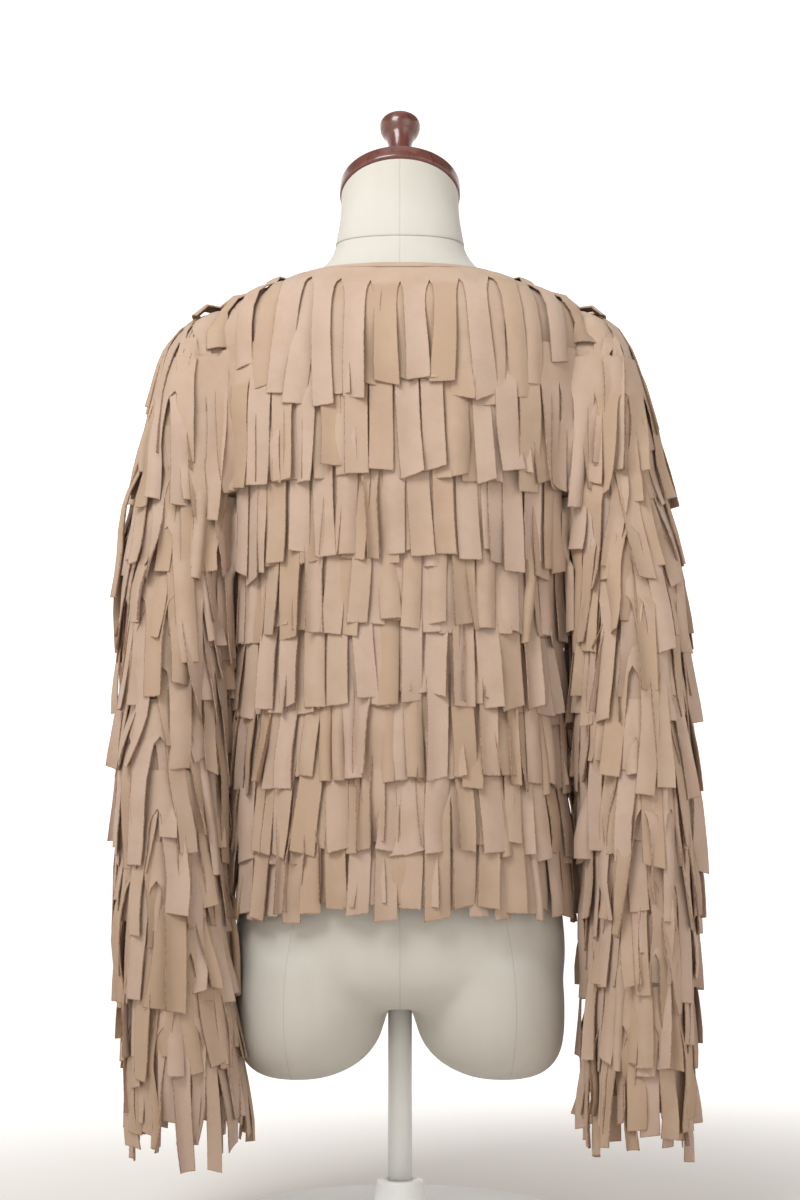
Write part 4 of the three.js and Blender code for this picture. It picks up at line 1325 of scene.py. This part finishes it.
class FRINGED_TOP_OT_neck_cap(bpy.types.Operator):
    """Build the wooden neck cap and its knob"""
    bl_idname = "fringed_top.neck_cap"
    bl_label = "Neck cap and knob"

    def execute(self, context):
        build_neck_cap(context.scene.fringed_top_form)
        return {"FINISHED"}


class FRINGED_TOP_OT_stand(bpy.types.Operator):
    """Build the stand's tube and disc"""
    bl_idname = "fringed_top.stand"
    bl_label = "Stand"

    def execute(self, context):
        build_stand(context.scene.fringed_top_form)
        return {"FINISHED"}


class FRINGED_TOP_OT_panels(bpy.types.Operator):
    """Build the back, the front and the neck tape"""
    bl_idname = "fringed_top.panels"
    bl_label = "Back, front and neck tape"

    def execute(self, context):
        build_panels(context.scene.fringed_top_cloth)
        return {"FINISHED"}


class FRINGED_TOP_OT_sleeves(bpy.types.Operator):
    """Build the two sleeves"""
    bl_idname = "fringed_top.sleeves"
    bl_label = "Sleeves"

    def execute(self, context):
        build_sleeves(context.scene.fringed_top_cloth)
        return {"FINISHED"}


class FRINGED_TOP_OT_body_fringe(bpy.types.Operator):
    """Build the rows of fringe on the body"""
    bl_idname = "fringed_top.body_fringe"
    bl_label = "Fringe of the body"

    def execute(self, context):
        build_body_fringe(context.scene.fringed_top_cloth)
        return {"FINISHED"}


class FRINGED_TOP_OT_sleeve_fringe(bpy.types.Operator):
    bl_idname = "fringed_top.sleeve_fringe"
    bl_label = "Fringe of the sleeves"

    def execute(self, context):
        build_sleeve_fringe(context.scene.fringed_top_cloth)
        declare_cloth()
        return {"FINISHED"}


class FRINGED_TOP_OT_studio(bpy.types.Operator):
    """Build the floor, the lights and the camera"""
    bl_idname = "fringed_top.studio"
    bl_label = "Studio"

    def execute(self, context):
        build_studio(context.scene.fringed_top_studio)
        return {"FINISHED"}


OPERATORS = (
    FRINGED_TOP_OT_form, FRINGED_TOP_OT_neck_cap, FRINGED_TOP_OT_stand, FRINGED_TOP_OT_panels,
    FRINGED_TOP_OT_sleeves, FRINGED_TOP_OT_body_fringe, FRINGED_TOP_OT_sleeve_fringe, FRINGED_TOP_OT_studio,
)
GROUPS = {
    "fringed_top_cloth": FringedTopCloth,
    "fringed_top_form": FringedTopForm,
    "fringed_top_studio": FringedTopStudio,
}


class FRINGED_TOP_PT_sidebar(bpy.types.Panel):
    """Lists the pieces and their sizes"""
    bl_idname = "FRINGED_TOP_PT_sidebar"
    bl_label = "Fringed Top"
    bl_space_type = "VIEW_3D"
    bl_region_type = "UI"
    bl_category = "Fringed Top"

    def draw(self, context):
        for name, group in GROUPS.items():
            box = self.layout.box()
            for key in group.__annotations__:
                box.prop(getattr(context.scene, name), key)
        for operator in OPERATORS:
            self.layout.operator(operator.bl_idname)


def register():
    """Adds the groups of values, the operators and the sidebar to Blender."""
    for made in (*GROUPS.values(), *OPERATORS, FRINGED_TOP_PT_sidebar):
        bpy.utils.register_class(made)
    for name, group in GROUPS.items():
        setattr(bpy.types.Scene, name, bpy.props.PointerProperty(type=group))


def unregister():
    """Takes them away again, the last one first."""
    for name in GROUPS:
        delattr(bpy.types.Scene, name)
    for made in reversed((*GROUPS.values(), *OPERATORS, FRINGED_TOP_PT_sidebar)):
        bpy.utils.unregister_class(made)


def main():
    """Builds everything, and works out how large the solids and the visual model are."""
    register()
    bpy.ops.fringed_top.form()
    bpy.ops.fringed_top.neck_cap()
    bpy.ops.fringed_top.stand()
    bpy.ops.fringed_top.panels()
    bpy.ops.fringed_top.sleeves()
    bpy.ops.fringed_top.body_fringe()
    bpy.ops.fringed_top.sleeve_fringe()
    bpy.ops.fringed_top.studio()
    boxes = {"cad": CAD_BOX, "visual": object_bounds()}
    plain = {key: [[float(number) for number in corner] for corner in box] for key, box in boxes.items()}


if __name__ == "__main__":
    main()
